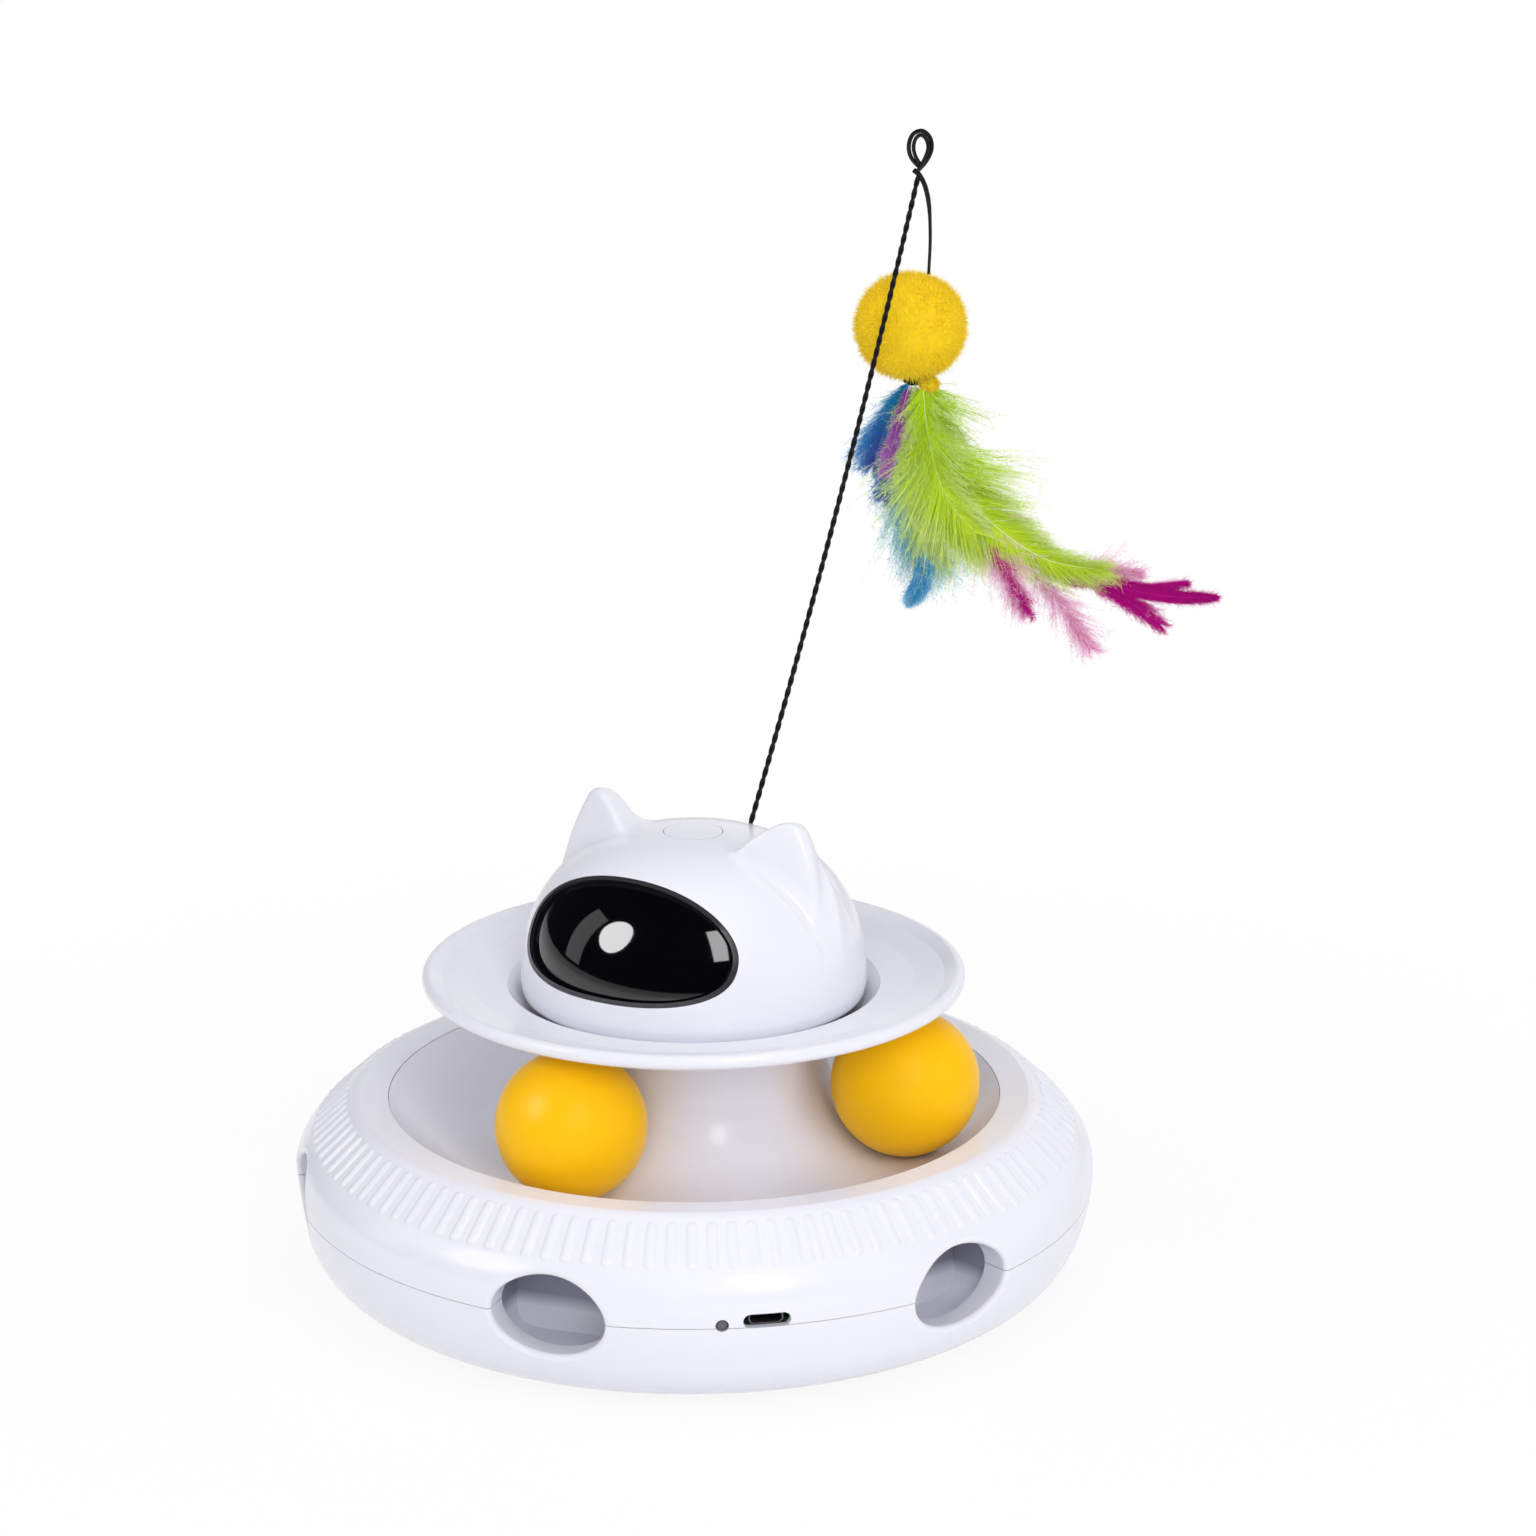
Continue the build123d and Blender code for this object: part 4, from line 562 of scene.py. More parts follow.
# %% Surface nets
def surface_net(field, low, high, pitch):
    """Points and faces where the field crosses zero."""
    counts = [int(np.ceil((b - a) / pitch)) + 1 for a, b in zip(low, high)]
    axes = [a + pitch * np.arange(count) for a, count in zip(low, counts)]
    corners = np.stack(np.meshgrid(*axes, indexing="ij"), axis=-1)
    inside = (field(corners.reshape(-1, 3)) < 0).reshape(counts)
    cells = np.zeros([count - 1 for count in counts], int)
    for dx in (0, 1):
        for dy in (0, 1):
            for dz in (0, 1):
                cells += inside[dx:counts[0] - 1 + dx, dy:counts[1] - 1 + dy, dz:counts[2] - 1 + dz]
    crossed = (cells > 0) & (cells < 8)
    index = np.full(cells.shape, -1)
    index[crossed] = np.arange(crossed.sum())
    points = np.argwhere(crossed) * pitch + np.array(low) + pitch / 2
    faces = []
    for axis in range(3):
        ahead = np.roll(inside, -1, axis=axis)
        change = inside != ahead
        change[tuple(slice(-1, None) if k == axis else slice(None) for k in range(3))] = False
        spots = np.argwhere(change)
        others = [k for k in range(3) if k != axis]
        spots = spots[(spots[:, others[0]] > 0) & (spots[:, others[1]] > 0)]
        shifts = []
        for du, dv in ((0, 0), (1, 0), (1, 1), (0, 1)):
            shift = np.zeros(3, int)
            shift[others[0]], shift[others[1]] = du, dv
            shifts.append(index[tuple((spots - shift).T)])
        quads = np.stack(shifts, axis=1)
        flip = inside[tuple(spots.T)] != (axis == 1)
        quads[flip] = quads[flip][:, ::-1]
        faces.append(quads)
    return points, np.vstack(faces)


def slope(field, points, step=0.05):
    """The field's gradient at each point."""
    return np.stack([
        (field(points + step * axis) - field(points - step * axis)) / (2 * step) for axis in np.eye(3)], axis=1)


def settle(field, points, rounds, largest=0.6, least_slope=0.05):
    """Moves points onto the skin of the field."""
    for _ in range(rounds):
        steep = slope(field, points)
        size = np.maximum((steep**2).sum(1), least_slope)
        points = points - np.clip(field(points) / size, -largest, largest)[:, None] * steep
    return points


def relax(points, faces):
    """Moves each point towards the middle of its neighbours."""
    total, count = np.zeros_like(points), np.zeros(len(points))
    for a, b in ((0, 1), (1, 2), (2, 3), (3, 0)):
        for here, there in ((a, b), (b, a)):
            np.add.at(total, faces[:, here], points[faces[:, there]])
            np.add.at(count, faces[:, here], 1)
    return 0.5 * points + 0.5 * total / np.maximum(count, 1)[:, None]


# %% The head's skin
pitch = 0.8
HEAD_LOW, HEAD_HIGH = (-50, -50, 77), (50, 50, 136)
head_points, head_faces = surface_net(shell_field, HEAD_LOW, HEAD_HIGH, pitch)
for _ in range(3):
    head_points = settle(shell_field, relax(head_points, head_faces), 2)
head_points = settle(shell_field, head_points, 4)
head = add_piece("head_shell_skin", head_points, head_faces, "head", "shell_white", ["head_shell"])

# %% [markdown]
# The openings are cut last, as a moulder's inserts would leave them: a prism of the visor's outline, a round
# hole for the button and a slanting one for the wand's socket. An exact Boolean keeps their edges crisp.


# %% Openings in the head
def prism_cutter(name, outline, place, aim, depth):
    """A closed prism: outline in millimetres across and up, pushed along aim."""
    aim = Vector(aim).normalized()
    across = Vector((1, 0, 0))
    up = aim.cross(across)
    start = [Vector(place) + across * u + up * v for u, v in outline]
    count = len(start)
    points = [tuple(p * MM) for p in start] + [tuple((p + aim * depth) * MM) for p in start]
    faces = [tuple(range(count))[::-1], tuple(range(count, 2 * count))]
    faces += [(i, (i + 1) % count, count + (i + 1) % count, count + i) for i in range(count)]
    mesh = bpy.data.meshes.new(name)
    mesh.from_pydata(points, [], faces)
    cutter = bpy.data.objects.new(name, mesh)
    bpy.context.scene.collection.objects.link(cutter)
    return cutter


def superellipse(half_width, half_height, squareness, count):
    """Outline of a rounded window."""
    turn = np.linspace(0, 2 * np.pi, count, endpoint=False)
    power = 2 / squareness
    across = half_width * np.sign(np.cos(turn)) * np.abs(np.cos(turn)) ** power
    return np.column_stack([across, half_height * np.sign(np.sin(turn)) * np.abs(np.sin(turn)) ** power])


VISOR_PITCH = np.radians(29.8)
VISOR_AIM = (0, -np.cos(VISOR_PITCH), np.sin(VISOR_PITCH))
VISOR_AXIS_START, VISOR_HALF, VISOR_SQUARENESS = (0, 0, 82.5), (33.2, 17.0), 2.17
BUTTON_HOLE, SOCKET_HOLE = 8.1, 3.25
WAND_FOOT, WAND_TIP = np.array((0, 28.3, 118.6)), np.array((0, 116.1, 286.7))
wand_chord = WAND_TIP - WAND_FOOT
wand_out = np.cross((1, 0, 0), wand_chord) / np.linalg.norm(wand_chord)
WAND_BOW = -2.6
wand_middle = (WAND_FOOT + WAND_TIP) / 2 + wand_out * WAND_BOW
wand_rise = 2 * (wand_middle - WAND_FOOT) - wand_chord / 2
wand_rise = wand_rise / np.linalg.norm(wand_rise)
visor_outline = superellipse(*VISOR_HALF, VISOR_SQUARENESS, 160)
button_outline = superellipse(BUTTON_HOLE, BUTTON_HOLE, 2, 64)
socket_outline = superellipse(SOCKET_HOLE, SOCKET_HOLE, 2, 40)
cutters = [
    prism_cutter("visor_cutter", visor_outline, VISOR_AXIS_START, VISOR_AIM, 95),
    prism_cutter("button_cutter", button_outline, (0, 0, 116), (0, 0, 1), 20),
    prism_cutter("socket_cutter", socket_outline, WAND_FOOT - 12 * wand_rise, wand_rise, 26),
]
for cutter in cutters:
    cut = head.modifiers.new(cutter.name, "BOOLEAN")
    cut.operation, cut.solver, cut.object = "DIFFERENCE", "EXACT", cutter
bpy.context.view_layer.update()
cut_mesh = bpy.data.meshes.new_from_object(head.evaluated_get(bpy.context.evaluated_depsgraph_get()))
head.modifiers.clear()
head.data = cut_mesh
for cutter in cutters:
    bpy.data.objects.remove(cutter)
cut_mesh.polygons.foreach_set("use_smooth", [True] * len(cut_mesh.polygons))
cut_mesh.set_sharp_from_angle(angle=np.radians(38))
print("head shell", len(cut_mesh.polygons), "faces after cutting")

# %% [markdown]
# ## The wand
# The wand is two strands of black coated spring wire twisted together. At the top the pair opens into an eye,
# and one end runs on as the hanger that the lure swings from. A strand is a helix round the wand's own
# bowed line, so light catches each turn separately, as on a real cable.

# %% Wand strands
STRAND_RADIUS, STRAND_APART = 0.52, 0.27
TWIST_PITCH = 6.6
bow_share = np.linspace(0, 1, 560)[:, None]
control = 2 * wand_middle - (WAND_FOOT + WAND_TIP) / 2
wand_line = ((1 - bow_share) ** 2 * WAND_FOOT + 2 * bow_share * (1 - bow_share) * control
             + bow_share**2 * WAND_TIP)
inside_socket = WAND_FOOT - wand_rise * np.linspace(12.0, 0.4, 24)[:, None]
wand_line = np.vstack([inside_socket, wand_line])
far = distances(wand_line)
first, second = carried_frame(wand_line)
strands = []
for start in (0.0, np.pi):
    turn = 2 * np.pi * far / TWIST_PITCH + start
    helix = wand_line + STRAND_APART * (np.cos(turn)[:, None] * first + np.sin(turn)[:, None] * second)
    strands.append(tube(helix, STRAND_RADIUS))
print("wand is", round(float(far[-1])), "mm long")

# %% The eye and the hanger
LURE_TURN = np.radians(33.5)
LURE_ACROSS = np.array((np.cos(LURE_TURN), np.sin(LURE_TURN), 0))
LURE_NEAR = np.array((np.sin(LURE_TURN), -np.cos(LURE_TURN), 0))
LURE_ORIGIN = np.array((0, 116.9, 0))


def in_lure(spots):
    """Rows of (across, up, towards the viewer) in the upright plane of the lure, in millimetres."""
    spots = np.asarray(spots, float)
    return (LURE_ORIGIN + spots[:, :1] * LURE_ACROSS + spots[:, 1:2] * np.array((0, 0, 1))
            + spots[:, 2:3] * LURE_NEAR)


eye_outer = [(-0.7, 287.2, 0.3), (1.6, 290.0, 0.6), (3.0, 293.2, 0.5), (2.6, 296.4, 0.2), (0.4, 298.3, 0.0),
             (-2.2, 297.3, -0.1), (-3.3, 294.2, -0.2), (-2.6, 290.8, -0.4), (0.2, 287.6, -0.5)]
eye_inner = [(-0.9, 287.0, 0.9), (0.9, 290.3, 1.2), (2.0, 293.3, 1.1), (1.6, 295.8, 0.8), (0.2, 297.2, 0.6),
             (-1.3, 296.4, 0.5), (-2.0, 294.0, 0.4), (-1.4, 291.2, 0.3), (0.6, 288.0, 0.2)]
eye = [tube(smooth_line(in_lure(loop), 90), radius) for loop, radius in ((eye_outer, 0.62), (eye_inner, 0.55))]
add_piece("wand_twisted_wire", *joined(*strands, *eye), "head", "wire_black", ["wand_wire"])

hanger_line = [(-1.9, 287.4, 0.2), (-0.2, 285.9, 0.9), (1.4, 282.6, 1.2), (2.5, 277.0, 1.1), (2.9, 268.0, 0.8),
               (2.6, 258.0, 0.0)]
hanger_radii = np.interp(np.linspace(0, 1, 70), (0, 0.3, 0.5, 1), (0.75, 0.7, 0.5, 0.45))
add_piece("hanger", *tube(smooth_line(in_lure(hanger_line), 70), hanger_radii), "lure", "wire_black",
          ["hanger_wire"])

# %% [markdown]
# ## The pompom
# A pompom is a bundle of yarn tied in the middle and trimmed to a ball. What shows is a dense velvet of cut
# ends, a millimetre or two long, that all point outwards. A lumpy core carries thousands of short tapered
# fibres. Each one leans a little at random, so the outline is soft instead of a clean circle.


# %% Fibres
def ribbons(roots, directions, sideways, lengths, widths, bends, steps, taper=0.9):
    """Flat tapering fibres: points, faces and the place along each fibre. Bends is added to the direction."""
    count = len(roots)
    share = np.linspace(0, 1, steps + 1)
    run = lengths[:, None] * share[None]
    middle = (roots[:, None] + directions[:, None] * run[..., None]
              + bends[:, None] * (lengths[:, None] * share[None] ** 2)[..., None])
    width = widths[:, None] * (1 - taper * share[None] ** 1.5)
    points = np.stack([middle - sideways[:, None] * width[..., None] / 2,
                       middle + sideways[:, None] * width[..., None] / 2], axis=2)
    start = (np.arange(count) * 2 * (steps + 1))[:, None] + 2 * np.arange(steps)[None]
    faces = np.stack([start, start + 1, start + 3, start + 2], axis=-1).reshape(-1, 4)
    along = np.broadcast_to(share[None, :, None], (count, steps + 1, 2)).reshape(-1)
    return points.reshape(-1, 3), faces, along


def unit(vectors):
    """Vectors of length one."""
    return vectors / np.maximum(np.linalg.norm(vectors, axis=-1, keepdims=True), 1e-9)


def per_point(values, steps):
    """One value per ribbon, repeated for each of its points."""
    return np.repeat(values, 2 * (steps + 1))


# %% The pompom's core and pile
random = np.random.default_rng(7)
POMPOM_MIDDLE = in_lure([(-2.3, 243.2, 0)])[0]
POMPOM_HALF = np.array((15.7, 15.7, 15.0))
LUMP, PILE_SEAT, CORE_SIZE = 0.012, 0.94, 0.96
PILE_STEPS = 3
pile_count = 16000
turn = np.pi * (1 + 5**0.5) * np.arange(pile_count)
level = 1 - 2 * (np.arange(pile_count) + 0.5) / pile_count
around = np.sqrt(1 - level**2)
out = np.column_stack([around * np.cos(turn), around * np.sin(turn), level])
out = unit(out + random.normal(0, 0.02, out.shape))
lumps = 1 + LUMP * np.sin(5.1 * out[:, 0] + 1) * np.cos(4.3 * out[:, 2])
roots = POMPOM_MIDDLE + out * POMPOM_HALF * lumps[:, None] * PILE_SEAT
lean = unit(out + random.normal(0, 0.28, out.shape))
sideways = unit(np.cross(lean, random.normal(0, 1, out.shape)))
pile = ribbons(roots, lean, sideways, random.uniform(1.3, 2.2, pile_count),
               random.uniform(0.14, 0.26, pile_count), random.normal(0, 0.25, out.shape), PILE_STEPS)
core = bmesh.new()
bmesh.ops.create_icosphere(core, subdivisions=5, radius=1)
core_out = np.array([vertex.co for vertex in core.verts])
core_faces = [tuple(vertex.index for vertex in face.verts) for face in core.faces]
core.free()
core_waves = np.sin(9 * core_out[:, 0]) * np.sin(8 * core_out[:, 1] + 2) * np.sin(7 * core_out[:, 2])
core_lumps = 1 + LUMP * core_waves
core_points = POMPOM_MIDDLE + core_out * POMPOM_HALF * core_lumps[:, None] * CORE_SIZE
add_piece(
    "pompom_pile", *joined((core_points, core_faces), pile[:2]), "lure", "pompom_yellow", ["pompom"],
    along_barb=np.concatenate([np.full(len(core_points), 0.15), pile[2]]),
    along_quill=np.concatenate([
        random.random(len(core_points)), per_point(random.random(pile_count), PILE_STEPS)]),
    tone=np.concatenate([
        np.full(len(core_points), 0.5), per_point(random.random(pile_count), PILE_STEPS)]),
)

# %% [markdown]
# ## The feathers
# Craft feathers are turkey or goose, dyed in a bath. Each has a pale quill that thins to nothing, and two rows
# of barbs that leave it at a slant. Near the tip the barbs hook together into a smooth vane. Near the root they
# are loose down, where every barb is a soft plume with barbules of its own. One function makes both: the
# looseness of a barb decides how far it strays, curls and grows barbules.


# %% A feather
BARB_STEPS, FUZZ_STEPS = 7, 2
QUILL_POINTS, QUILL_SIDES, QUILL_LIFT = 160, 6, 0.35
FUZZ_PER_BARB, FUZZ_WIDTH = 9, 0.085
CLUMPS = 26


def spread(share, values):
    """Values given at even places along a quill, read at these shares of its length."""
    return np.interp(share, np.linspace(0, 1, np.size(values)), np.atleast_1d(values))


def feather(name, slot, replaced, quill, left, right, loose, seed, slant, per_mm, quill_radius, curl=0.05,
            width=0.34, fall=0.0, depth=0.6, beyond=None, closing=0.0, dye=(0.0, 1.0)):
    """A feather in the lure's plane.

    quill: rows of (across, up, towards the viewer). left, right, loose and slant: values at even places along
    it, which are the barb lengths on each side in millimetres, how loose they are, from 0 to 1, and their angle
    to the quill in degrees. beyond: how far in millimetres a barb may reach past the quill's end, for a
    pointed blade. closing: how far the barbs bend back to the quill. dye: the part of the finish's colour run,
    from near to far, that this feather uses.
    """
    rng = np.random.default_rng(seed)
    line = smooth_line(in_lure(quill), QUILL_POINTS)
    ahead = tangents(line)
    run = distances(line)
    total = run[-1]
    parts, places, alongs, tones = [], [], [], []
    for side, lengths in ((-1, left), (1, right)):
        count = int(total * per_mm * (1))
        share = np.sort(rng.random(count)) * 0.985 + 0.01
        looseness = spread(share, loose)
        length = spread(share, lengths)
        length = length * (1 + looseness * rng.normal(0, 0.28, count)).clip(0.25, 1.6)
        length = length * rng.uniform(0.93, 1.04, count)
        if beyond is not None:
            ragged = rng.uniform(0.8 - 0.4 * looseness, 1.0)
            length = np.minimum(length, (1 - share) * total + beyond) * ragged
        root = rows_at(share * total, run, line)
        forward = unit(rows_at(share * total, run, ahead))
        out = unit(np.cross(forward, LURE_NEAR)) * side
        angle = np.radians(spread(share, slant) + looseness * rng.normal(0, 14, count))
        direction = unit(forward * np.cos(angle)[:, None] + out * np.sin(angle)[:, None]
                         + LURE_NEAR * (rng.normal(0, 0.05 + 0.28 * looseness, count))[:, None] * depth)
        clump = np.interp(share, np.linspace(0, 1, CLUMPS), rng.normal(0, 1, CLUMPS))
        bend = (forward * (curl * (0.4 + rng.random(count)))[:, None]
                + out * (looseness * 0.25 * clump)[:, None]
                + LURE_NEAR * (depth * looseness * rng.normal(0, 0.3, count))[:, None]
                - out * (closing * np.sin(angle))[:, None]
                + np.array((0, 0, -1)) * (fall * looseness)[:, None])
        flat = unit(forward + LURE_NEAR * rng.normal(0, 0.2, count)[:, None])
        widths = width * (1.25 - 0.75 * looseness) * rng.uniform(0.8, 1.2, count)
        barb = ribbons(root, direction, flat, length, widths, bend, BARB_STEPS)
        barb_tone = np.clip(0.6 + 0.22 * clump + rng.normal(0, 0.1 + 0.12 * looseness, count), 0, 1)

        fuzz_count = count * FUZZ_PER_BARB
        hairy = looseness * length + 1e-6
        pick = rng.choice(count, fuzz_count, p=hairy / hairy.sum())
        spot = rng.uniform(0.1, 1.0, fuzz_count)
        fuzz_root = (root[pick] + direction[pick] * (length[pick] * spot)[:, None]
                     + bend[pick] * (length[pick] * spot**2)[:, None])
        heading = unit(direction[pick] + 2 * spot[:, None] * bend[pick])
        fuzz_way = unit(heading * 0.75 + unit(rng.normal(0, 1, (fuzz_count, 3))) * 0.75)
        fuzz_side = unit(np.cross(fuzz_way, LURE_NEAR))
        fuzz = ribbons(fuzz_root, fuzz_way, fuzz_side, rng.uniform(0.8, 2.2, fuzz_count),
                       np.full(fuzz_count, FUZZ_WIDTH), rng.normal(0, 0.2, (fuzz_count, 3)), FUZZ_STEPS)

        parts += [barb[:2], fuzz[:2]]
        alongs += [barb[2], np.clip(per_point(spot, FUZZ_STEPS) * 0.7 + 0.3 * fuzz[2], 0, 1)]
        places += [per_point(share, BARB_STEPS), per_point(share[pick], FUZZ_STEPS)]
        tones += [per_point(barb_tone, BARB_STEPS), per_point(barb_tone[pick], FUZZ_STEPS)]
    to_tip = np.linspace(0, 1, QUILL_POINTS)
    shaft = tube(line + QUILL_LIFT * LURE_NEAR, quill_radius * (1 - 0.8 * to_tip), QUILL_SIDES)
    parts.append(shaft)
    alongs.append(np.ones(len(shaft[0])))
    places.append(np.repeat(to_tip, QUILL_SIDES))
    tones.append(np.ones(len(shaft[0])))
    add_piece(name, *joined(*parts), "lure", slot, replaced, along_barb=np.concatenate(alongs),
              along_quill=dye[0] + (dye[1] - dye[0]) * np.concatenate(places), tone=np.concatenate(tones))


# %% The green feathers
feather("green_feather", "feather_green", ["feather_green"],
        [(2.0, 227.6, 2.6), (2.9, 218.2, 3.4), (4.7, 206.0, 4.0), (12.6, 195.1, 4.2), (23.0, 185.4, 4.0),
         (34.3, 177.5, 3.8), (42.7, 174.6, 3.6), (52.5, 173.1, 3.4)],
        left=(10, 21, 24, 21, 17, 14, 12, 10, 6), right=(5, 12, 20, 22, 17, 13, 13, 12, 8),
        loose=(0.9, 0.85, 0.7, 0.35, 0.2, 0.15, 0.2, 0.35, 0.6), seed=3, per_mm=15,
        slant=(72, 66, 58, 47, 40, 37, 31, 22, 12), curl=0.15, quill_radius=0.3, beyond=8)
feather("lime_feather", "feather_green", ["feather_lime"],
        [(1.0, 227.4, 4.6), (2.4, 214.0, 5.6), (5.6, 201.0, 6.0), (10.0, 192.0, 6.0), (16.8, 184.3, 5.8)],
        left=(6, 10, 11, 9, 5), right=(7, 14, 17, 17, 13), loose=(0.8, 0.8, 0.6, 0.35, 0.2), seed=5, per_mm=12,
        slant=34, curl=0.12, quill_radius=0.12)
feather("green_down", "feather_green", [],
        [(-0.8, 227.0, 1.6), (-1.2, 218.0, 2.2), (0.0, 205.0, 2.4), (3.5, 190.0, 2.2), (8.0, 181.0, 2.2)],
        left=(6, 11, 14, 15, 10), right=(4, 8, 10, 13, 10), loose=(1, 0.9, 0.9, 0.9), seed=11, per_mm=10,
        slant=34, curl=0.25, fall=0.15, quill_radius=0.15)

# %% The magenta and pink feathers
feather("magenta_feather", "feather_magenta", ["feather_magenta"],
        [(-0.6, 225.6, 0.4), (5.0, 206.0, 0.6), (20.0, 184.0, 0.8), (40.0, 171.6, 1.2), (51.1, 169.3, 1.6),
         (62.4, 166.4, 1.8), (73.6, 164.6, 1.6), (87.0, 164.1, 1.2)],
        left=(1, 2, 2, 3, 4, 8, 14, 16, 16), right=(1, 2, 2, 3, 5, 8, 11, 12, 12),
        loose=(0.8, 0.8, 0.8, 0.7, 0.5, 0.14, 0.07, 0.05, 0.04), seed=13, per_mm=18,
        slant=(33, 33, 33, 33, 33, 31, 24, 13), curl=0.0, quill_radius=0.2, beyond=0.4, depth=0.25,
        closing=0.75, width=0.42)
feather("magenta_upper", "feather_magenta", [],
        [(51.1, 169.9, 1.4), (65.0, 167.6, 1.8), (77.9, 168.2, 1.6)],
        left=(3, 6, 8, 8), right=(3, 6, 8, 8), loose=(0.5, 0.25, 0.12, 0.08), seed=48, per_mm=12,
        slant=(20, 17, 9), curl=0.0, quill_radius=0.12, beyond=0.8, depth=0.3, closing=0.5)
feather("magenta_strip", "feather_magenta", [],
        [(40.0, 172.6, 0.2), (51.1, 168.6, 0.6), (60.0, 163.5, 0.6), (70.5, 156.0, 0.4)],
        left=(4, 10, 10, 5), right=(4, 10, 10, 5), loose=(0.6, 0.4, 0.3, 0.2), seed=17, per_mm=11, slant=19,
        curl=0.0, quill_radius=0.15, beyond=3.5, depth=0.3, closing=0.2)
feather("magenta_short", "feather_magenta", [],
        [(20.0, 181.0, 3.8), (25.0, 173.6, 4.4), (32.5, 160.2, 4.2)],
        left=(3, 6, 6, 3), right=(3, 6, 6, 3), loose=(0.6, 0.5, 0.4, 0.35), seed=18, per_mm=6,
        slant=(20, 17, 9), curl=0.0, quill_radius=0.12, beyond=2.5, depth=0.3, closing=0.1)
feather("pink_feather", "feather_pink", ["feather_pink"],
        [(-0.3, 225.6, -0.6), (6.0, 200.0, -0.8), (18.0, 184.0, 0.6), (25.0, 173.0, 3.4), (31.0, 160.2, 3.4)],
        left=(2, 6, 14, 14, 4), right=(2, 5, 14, 14, 4), loose=(0.9, 0.9, 0.8, 0.6, 0.4), seed=19, per_mm=10,
        slant=22, quill_radius=0.15, beyond=3)
feather("pink_wisps", "feather_pink", [],
        [(30.0, 178.0, 0.0), (37.1, 167.4, 0.2), (43.0, 160.0, 0.2), (50.5, 148.8, 0.0)],
        left=(6, 13, 13, 6), right=(6, 12, 12, 6), loose=(0.9, 0.8, 0.7, 0.6), seed=23, per_mm=7, slant=20,
        quill_radius=0.1, beyond=4)
feather("pink_fuzz", "feather_pink", [],
        [(45.0, 174.5, 0.6), (54.0, 172.5, 0.8), (64.0, 171.0, 0.6)],
        left=(6, 8, 5), right=(4, 6, 4), loose=(1, 0.9, 0.8), seed=43, per_mm=8, slant=22,
        quill_radius=0.1, beyond=3)

# %% The blue, purple and teal feathers
feather("blue_feather", "feather_blue", ["feather_blue"],
        [(-2.3, 227.5, -1.4), (-6.0, 220.5, -1.6), (-9.8, 211.5, -1.6), (-12.6, 203.0, -1.6)],
        left=(6, 13, 15, 9), right=(7, 15, 16, 10), loose=(0.45, 0.5, 0.5, 0.4), seed=29, per_mm=18, slant=23,
        quill_radius=0.2, beyond=4, depth=0.4)
feather("blue_lower", "feather_blue", [],
        [(-4.0, 212.0, -1.0), (-7.0, 203.0, -1.2), (-9.5, 194.5, -1.2)],
        left=(5, 10, 7), right=(5, 10, 7), loose=(0.6, 0.5, 0.4), seed=30, per_mm=13, slant=20,
        quill_radius=0.12, beyond=4, depth=0.4)
feather("purple_feather", "feather_purple", ["feather_purple"],
        [(-2.9, 226.8, 3.6), (-5.1, 218.5, 4.6), (-7.1, 211.5, 4.8), (-9.8, 202.5, 4.6)],
        left=(3, 7, 7, 4), right=(3, 6, 6, 4), loose=(0.5, 0.5, 0.45, 0.4), seed=31, per_mm=9, slant=16,
        quill_radius=0.15, beyond=2, depth=0.4)
feather("teal_feather", "feather_teal", ["feather_teal"],
        [(-1.7, 225.6, -2.4), (-4.5, 210.4, -2.8), (-4.6, 195.7, -2.8), (-0.9, 183.0, -2.6), (1.2, 174.0, -2.4),
         (-2.4, 163.0, -2.2)],
        left=(3, 8, 12, 15, 14, 8), right=(3, 9, 14, 18, 16, 10), loose=(0.8, 0.8, 0.9, 0.5, 0.1, 0.05),
        seed=37, per_mm=18, slant=(27, 27, 27, 27, 22, 11), curl=0.03, fall=0.1, quill_radius=0.2, beyond=1.0,
        depth=0.4, closing=0.5)
feather("teal_blade", "feather_teal", [],
        [(2.4, 178.0, 3.2), (1.4, 171.0, 3.2), (-2.4, 163.0, 3.0)],
        left=(7, 9, 8), right=(7, 10, 8), loose=(0.35, 0.2, 0.1), seed=47, per_mm=24, slant=(36, 30, 13),
        curl=0.0, quill_radius=0.15, beyond=0.5, depth=0.3, closing=0.5, dye=(0.85, 1.0), width=0.4)
feather("aqua_down", "feather_teal", [],
        [(-2.5, 212.0, -1.2), (-3.5, 200.0, -0.8), (0.5, 187.0, -0.6), (8.0, 172.0, -0.6)],
        left=(5, 11, 15, 14, 6), right=(5, 12, 17, 16, 6), loose=(1, 0.9, 0.9, 0.8), seed=41, per_mm=9,
        slant=26, curl=0.25, fall=0.1, quill_radius=0.1, beyond=5, dye=(0.0, 0.15))

# %% [markdown]
# ## The tie
# Black thread is wound round the bundle of quills under the pompom, and a small yellow bead of glue-stiffened
# yarn closes it. Thread is a helix with a slightly uneven pitch, because a person wound it.

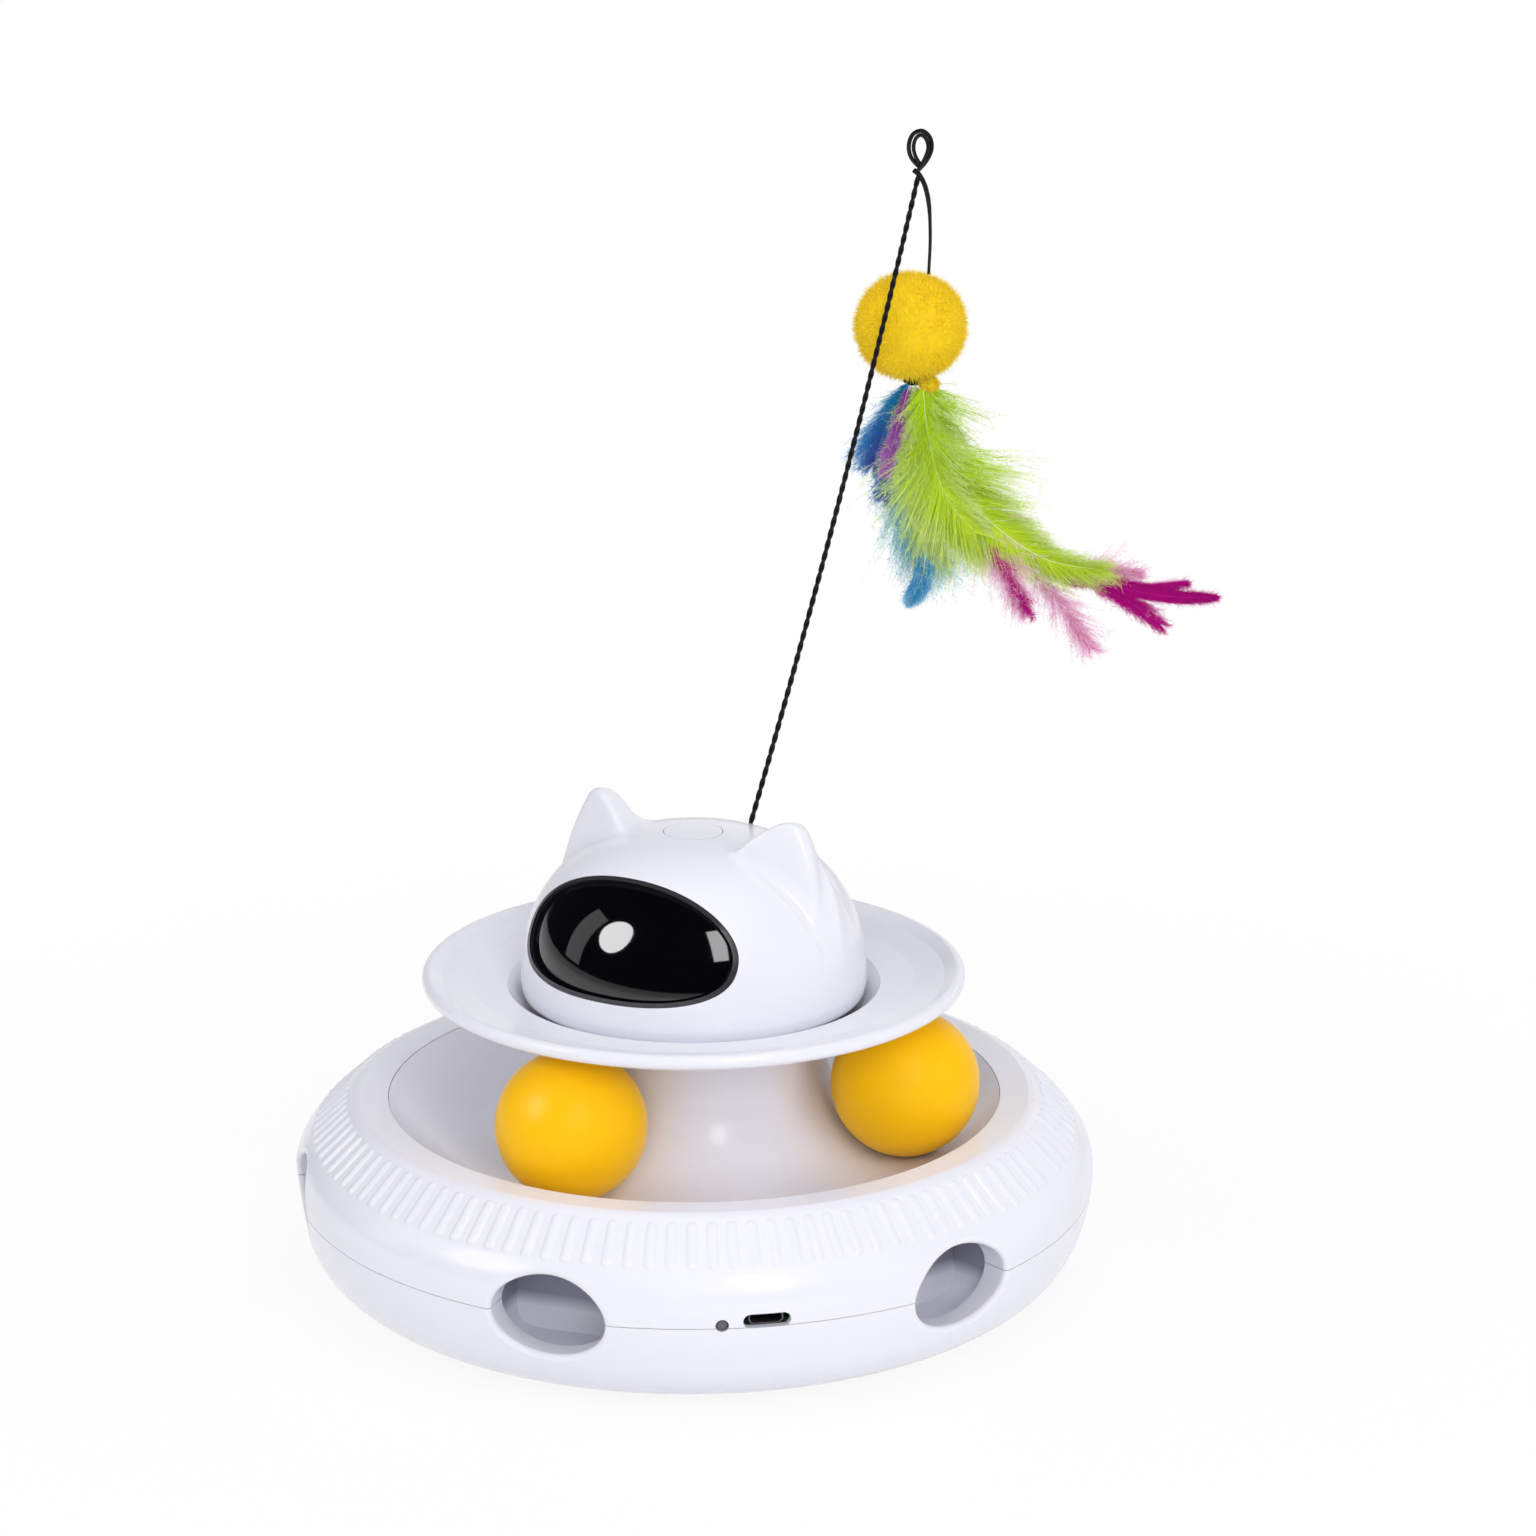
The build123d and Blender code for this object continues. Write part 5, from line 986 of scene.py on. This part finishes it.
# %% Thread and bead
THREAD_TURNS, THREAD_RADIUS = 6, 0.3
wound = np.linspace(0, 1, 260)
wound_turn = 2 * np.pi * THREAD_TURNS * wound
wound_rise = 227.2 + 1.8 * wound + 0.12 * np.sin(23 * wound)
wound_radius = 2.3 + 0.25 * np.sin(17 * wound)
thread_spots = np.column_stack([-1.6 + wound_radius * np.cos(wound_turn), wound_rise,
                                wound_radius * 0.9 * np.sin(wound_turn)])
stub = [(-1.2, 230.9, 0), (-1.3, 226.5, 0)]
winding = tube(in_lure(thread_spots), THREAD_RADIUS, 6)
add_piece("thread_winding", *joined(winding, tube(smooth_line(in_lure(stub), 8), 1.9, 12)),
          "lure", "wire_black", ["feather_tie"])
BEAD_COUNT, BEAD_STEPS = 1500, 2
bead_out = unit(random.normal(0, 1, (BEAD_COUNT, 3)))
bead_middle = in_lure([(2.9, 227.4, 4.0)])[0]
bead_lean = unit(bead_out + random.normal(0, 0.5, bead_out.shape))
bead_pile = ribbons(
    bead_middle + bead_out * (2.4, 2.4, 1.9), bead_lean, unit(np.cross(bead_lean, bead_out[::-1])),
    random.uniform(0.5, 1.1, BEAD_COUNT), random.uniform(0.15, 0.25, BEAD_COUNT),
    random.normal(0, 0.3, bead_out.shape), BEAD_STEPS)
bead_points, bead_faces = joined((bead_middle + core_out * (2.2, 2.2, 1.8), core_faces), bead_pile[:2])
bead_tone = per_point(random.random(BEAD_COUNT), BEAD_STEPS)
add_piece("yarn_bead", bead_points, bead_faces, "lure", "pompom_yellow",
          along_barb=np.concatenate([np.zeros(len(core_out)), bead_pile[2]]),
          along_quill=np.ones(len(bead_points)),
          tone=np.concatenate([np.full(len(core_out), 0.9), bead_tone]))

# %% [markdown]
# ## Light
# The studio is plain. A large soft light overhead and two wide fills, which gloss doesn't show, give the level:
# a surface shows about the colour that its finish is written in. A small round key and two upright windows are
# the shapes that the visor mirrors. The glint lifts the key's shape there: it stands just behind the key,
# shows only in gloss, and falls on the visor and the balls alone.


# %% Lamps
def lamp(name, place, size, size_y, power, mirrored=True, shape="RECTANGLE"):
    """An area lamp that looks at the toy; mirrored says whether gloss shows its shape."""
    data = bpy.data.lights.new(name, "AREA")
    data.shape, data.size, data.size_y, data.energy = shape, size, size_y, power
    made = bpy.data.objects.new(name, data)
    bpy.context.scene.collection.objects.link(made)
    made.location = place
    made.rotation_euler = (LAMP_TARGET - Vector(place)).to_track_quat("-Z", "Y").to_euler()
    made.visible_glossy = mirrored
    return made


LAMP_TARGET = Vector((0, 0, 0.1))
FRONT_FILL_FAR = 1.5
lamp("overhead", (0.1, 0.1, 1.6), 1.4, 1.4, 7.5, mirrored=False)
lamp("right fill", (1.6, 0.1, 0.6), 0.8, 0.8, 4.4, mirrored=False)
lamp("front fill", CAMERA_PLACE.normalized() * FRONT_FILL_FAR, 0.8, 0.8, 4.4, mirrored=False)
lamp("key window", (-0.72, -1.10, 0.92), 0.64, 0.80, 3.4, shape="ELLIPSE")
glint = lamp("key glint", (-0.735, -1.123, 0.937), 0.65, 0.82, 9.0, shape="ELLIPSE")
glint.visible_diffuse = False
glint_falls_on = bpy.data.collections.new("glint falls on")
for name in ("visor_lens", "ball_1", "ball_2"):
    glint_falls_on.objects.link(nodes[name])
glint.light_linking.receiver_collection = glint_falls_on
lamp("left strip", (-1.32, -0.76, 0.68), 0.44, 1.15, 1.1)
lamp("right window", (0.98, -0.72, 1.0), 0.28, 0.8, 3.6)

# %% [markdown]
# ## Floor and background
# The floor is white and catches the shadow. Seen by the camera, or in gloss and glass, most of it glows at
# strength 1, which is white, so the background doesn't depend on how much light falls on the object.

# %% Floor
FLOOR_HALF = 12.0
corners = [(-FLOOR_HALF, -FLOOR_HALF, 0), (FLOOR_HALF, -FLOOR_HALF, 0), (FLOOR_HALF, FLOOR_HALF, 0),
           (-FLOOR_HALF, FLOOR_HALF, 0)]
floor_mesh = bpy.data.meshes.new("floor")
floor_mesh.from_pydata(corners, [], [(0, 1, 2, 3)])
floor = bpy.data.objects.new("floor", floor_mesh)
bpy.context.scene.collection.objects.link(floor)
floor_material = bpy.data.materials.new("floor")
floor_material.use_nodes = True
tree = floor_material.node_tree
floor_shader = tree.nodes["Principled BSDF"]
floor_shader.inputs["Base Color"].default_value = (0.9, 0.9, 0.9, 1)
floor_shader.inputs["Roughness"].default_value = 0.9
path = node(tree, "ShaderNodeLightPath").outputs
here = node(tree, "ShaderNodeTexCoord").outputs["Object"]
away = node(tree, "ShaderNodeVectorMath", {0: here}, operation="LENGTH").outputs["Value"]
sheet_end = mapped(tree, away, 0.35, 1.1, 1.0, 0.12)
in_gloss = maths(tree, "MAXIMUM", path["Is Glossy Ray"], path["Is Transmission Ray"])
seen = maths(tree, "MAXIMUM", path["Is Camera Ray"], maths(tree, "MULTIPLY", in_gloss, sheet_end))
glow = mapped(tree, away, 0.12, 0.5, 0.9, 1.0)
white = node(tree, "ShaderNodeEmission", {"Color": (1, 1, 1, 1), "Strength": 1.0})
mixed = node(tree, "ShaderNodeMixShader", {
    0: maths(tree, "MULTIPLY", seen, glow), 1: floor_shader.outputs[0], 2: white.outputs[0]})
tree.links.new(mixed.outputs[0], tree.nodes["Material Output"].inputs["Surface"])
floor_mesh.materials.append(floor_material)

# %% [markdown]
# The world is a white room to the camera and an even light to the toy. In gloss it is dark on the lamps' side,
# as a studio is behind its lamps, so that the black visor stays black between the shapes of the lamps.

# %% World
WORLD_LIGHT, ROOM_DARK = 0.42, 0.02
ROOM_SIDE = (-0.15, -0.75, 0.64)
world = bpy.data.worlds.new("studio")
bpy.context.scene.world = world
world.use_nodes = True
tree = world.node_tree
path = node(tree, "ShaderNodeLightPath").outputs
way = node(tree, "ShaderNodeTexCoord").outputs["Generated"]
facing = node(tree, "ShaderNodeVectorMath", {0: way, 1: ROOM_SIDE}, operation="DOT_PRODUCT").outputs["Value"]
backdrop = mapped(tree, facing, -0.5, 0.0, 1.0, ROOM_DARK)
in_gloss = maths(tree, "MAXIMUM", path["Is Glossy Ray"], path["Is Transmission Ray"])
strength = maths(tree, "MULTIPLY_ADD", in_gloss, maths(tree, "SUBTRACT", backdrop, WORLD_LIGHT), WORLD_LIGHT)
to_camera = maths(tree, "SUBTRACT", 1.0, strength)
strength = maths(tree, "MULTIPLY_ADD", path["Is Camera Ray"], to_camera, strength)
background = tree.nodes["Background"]
background.inputs["Color"].default_value = (1.0, 1.0, 1.0, 1)
tree.links.new(strength, background.inputs["Strength"])
bpy.context.scene.view_settings.view_transform = "Standard"
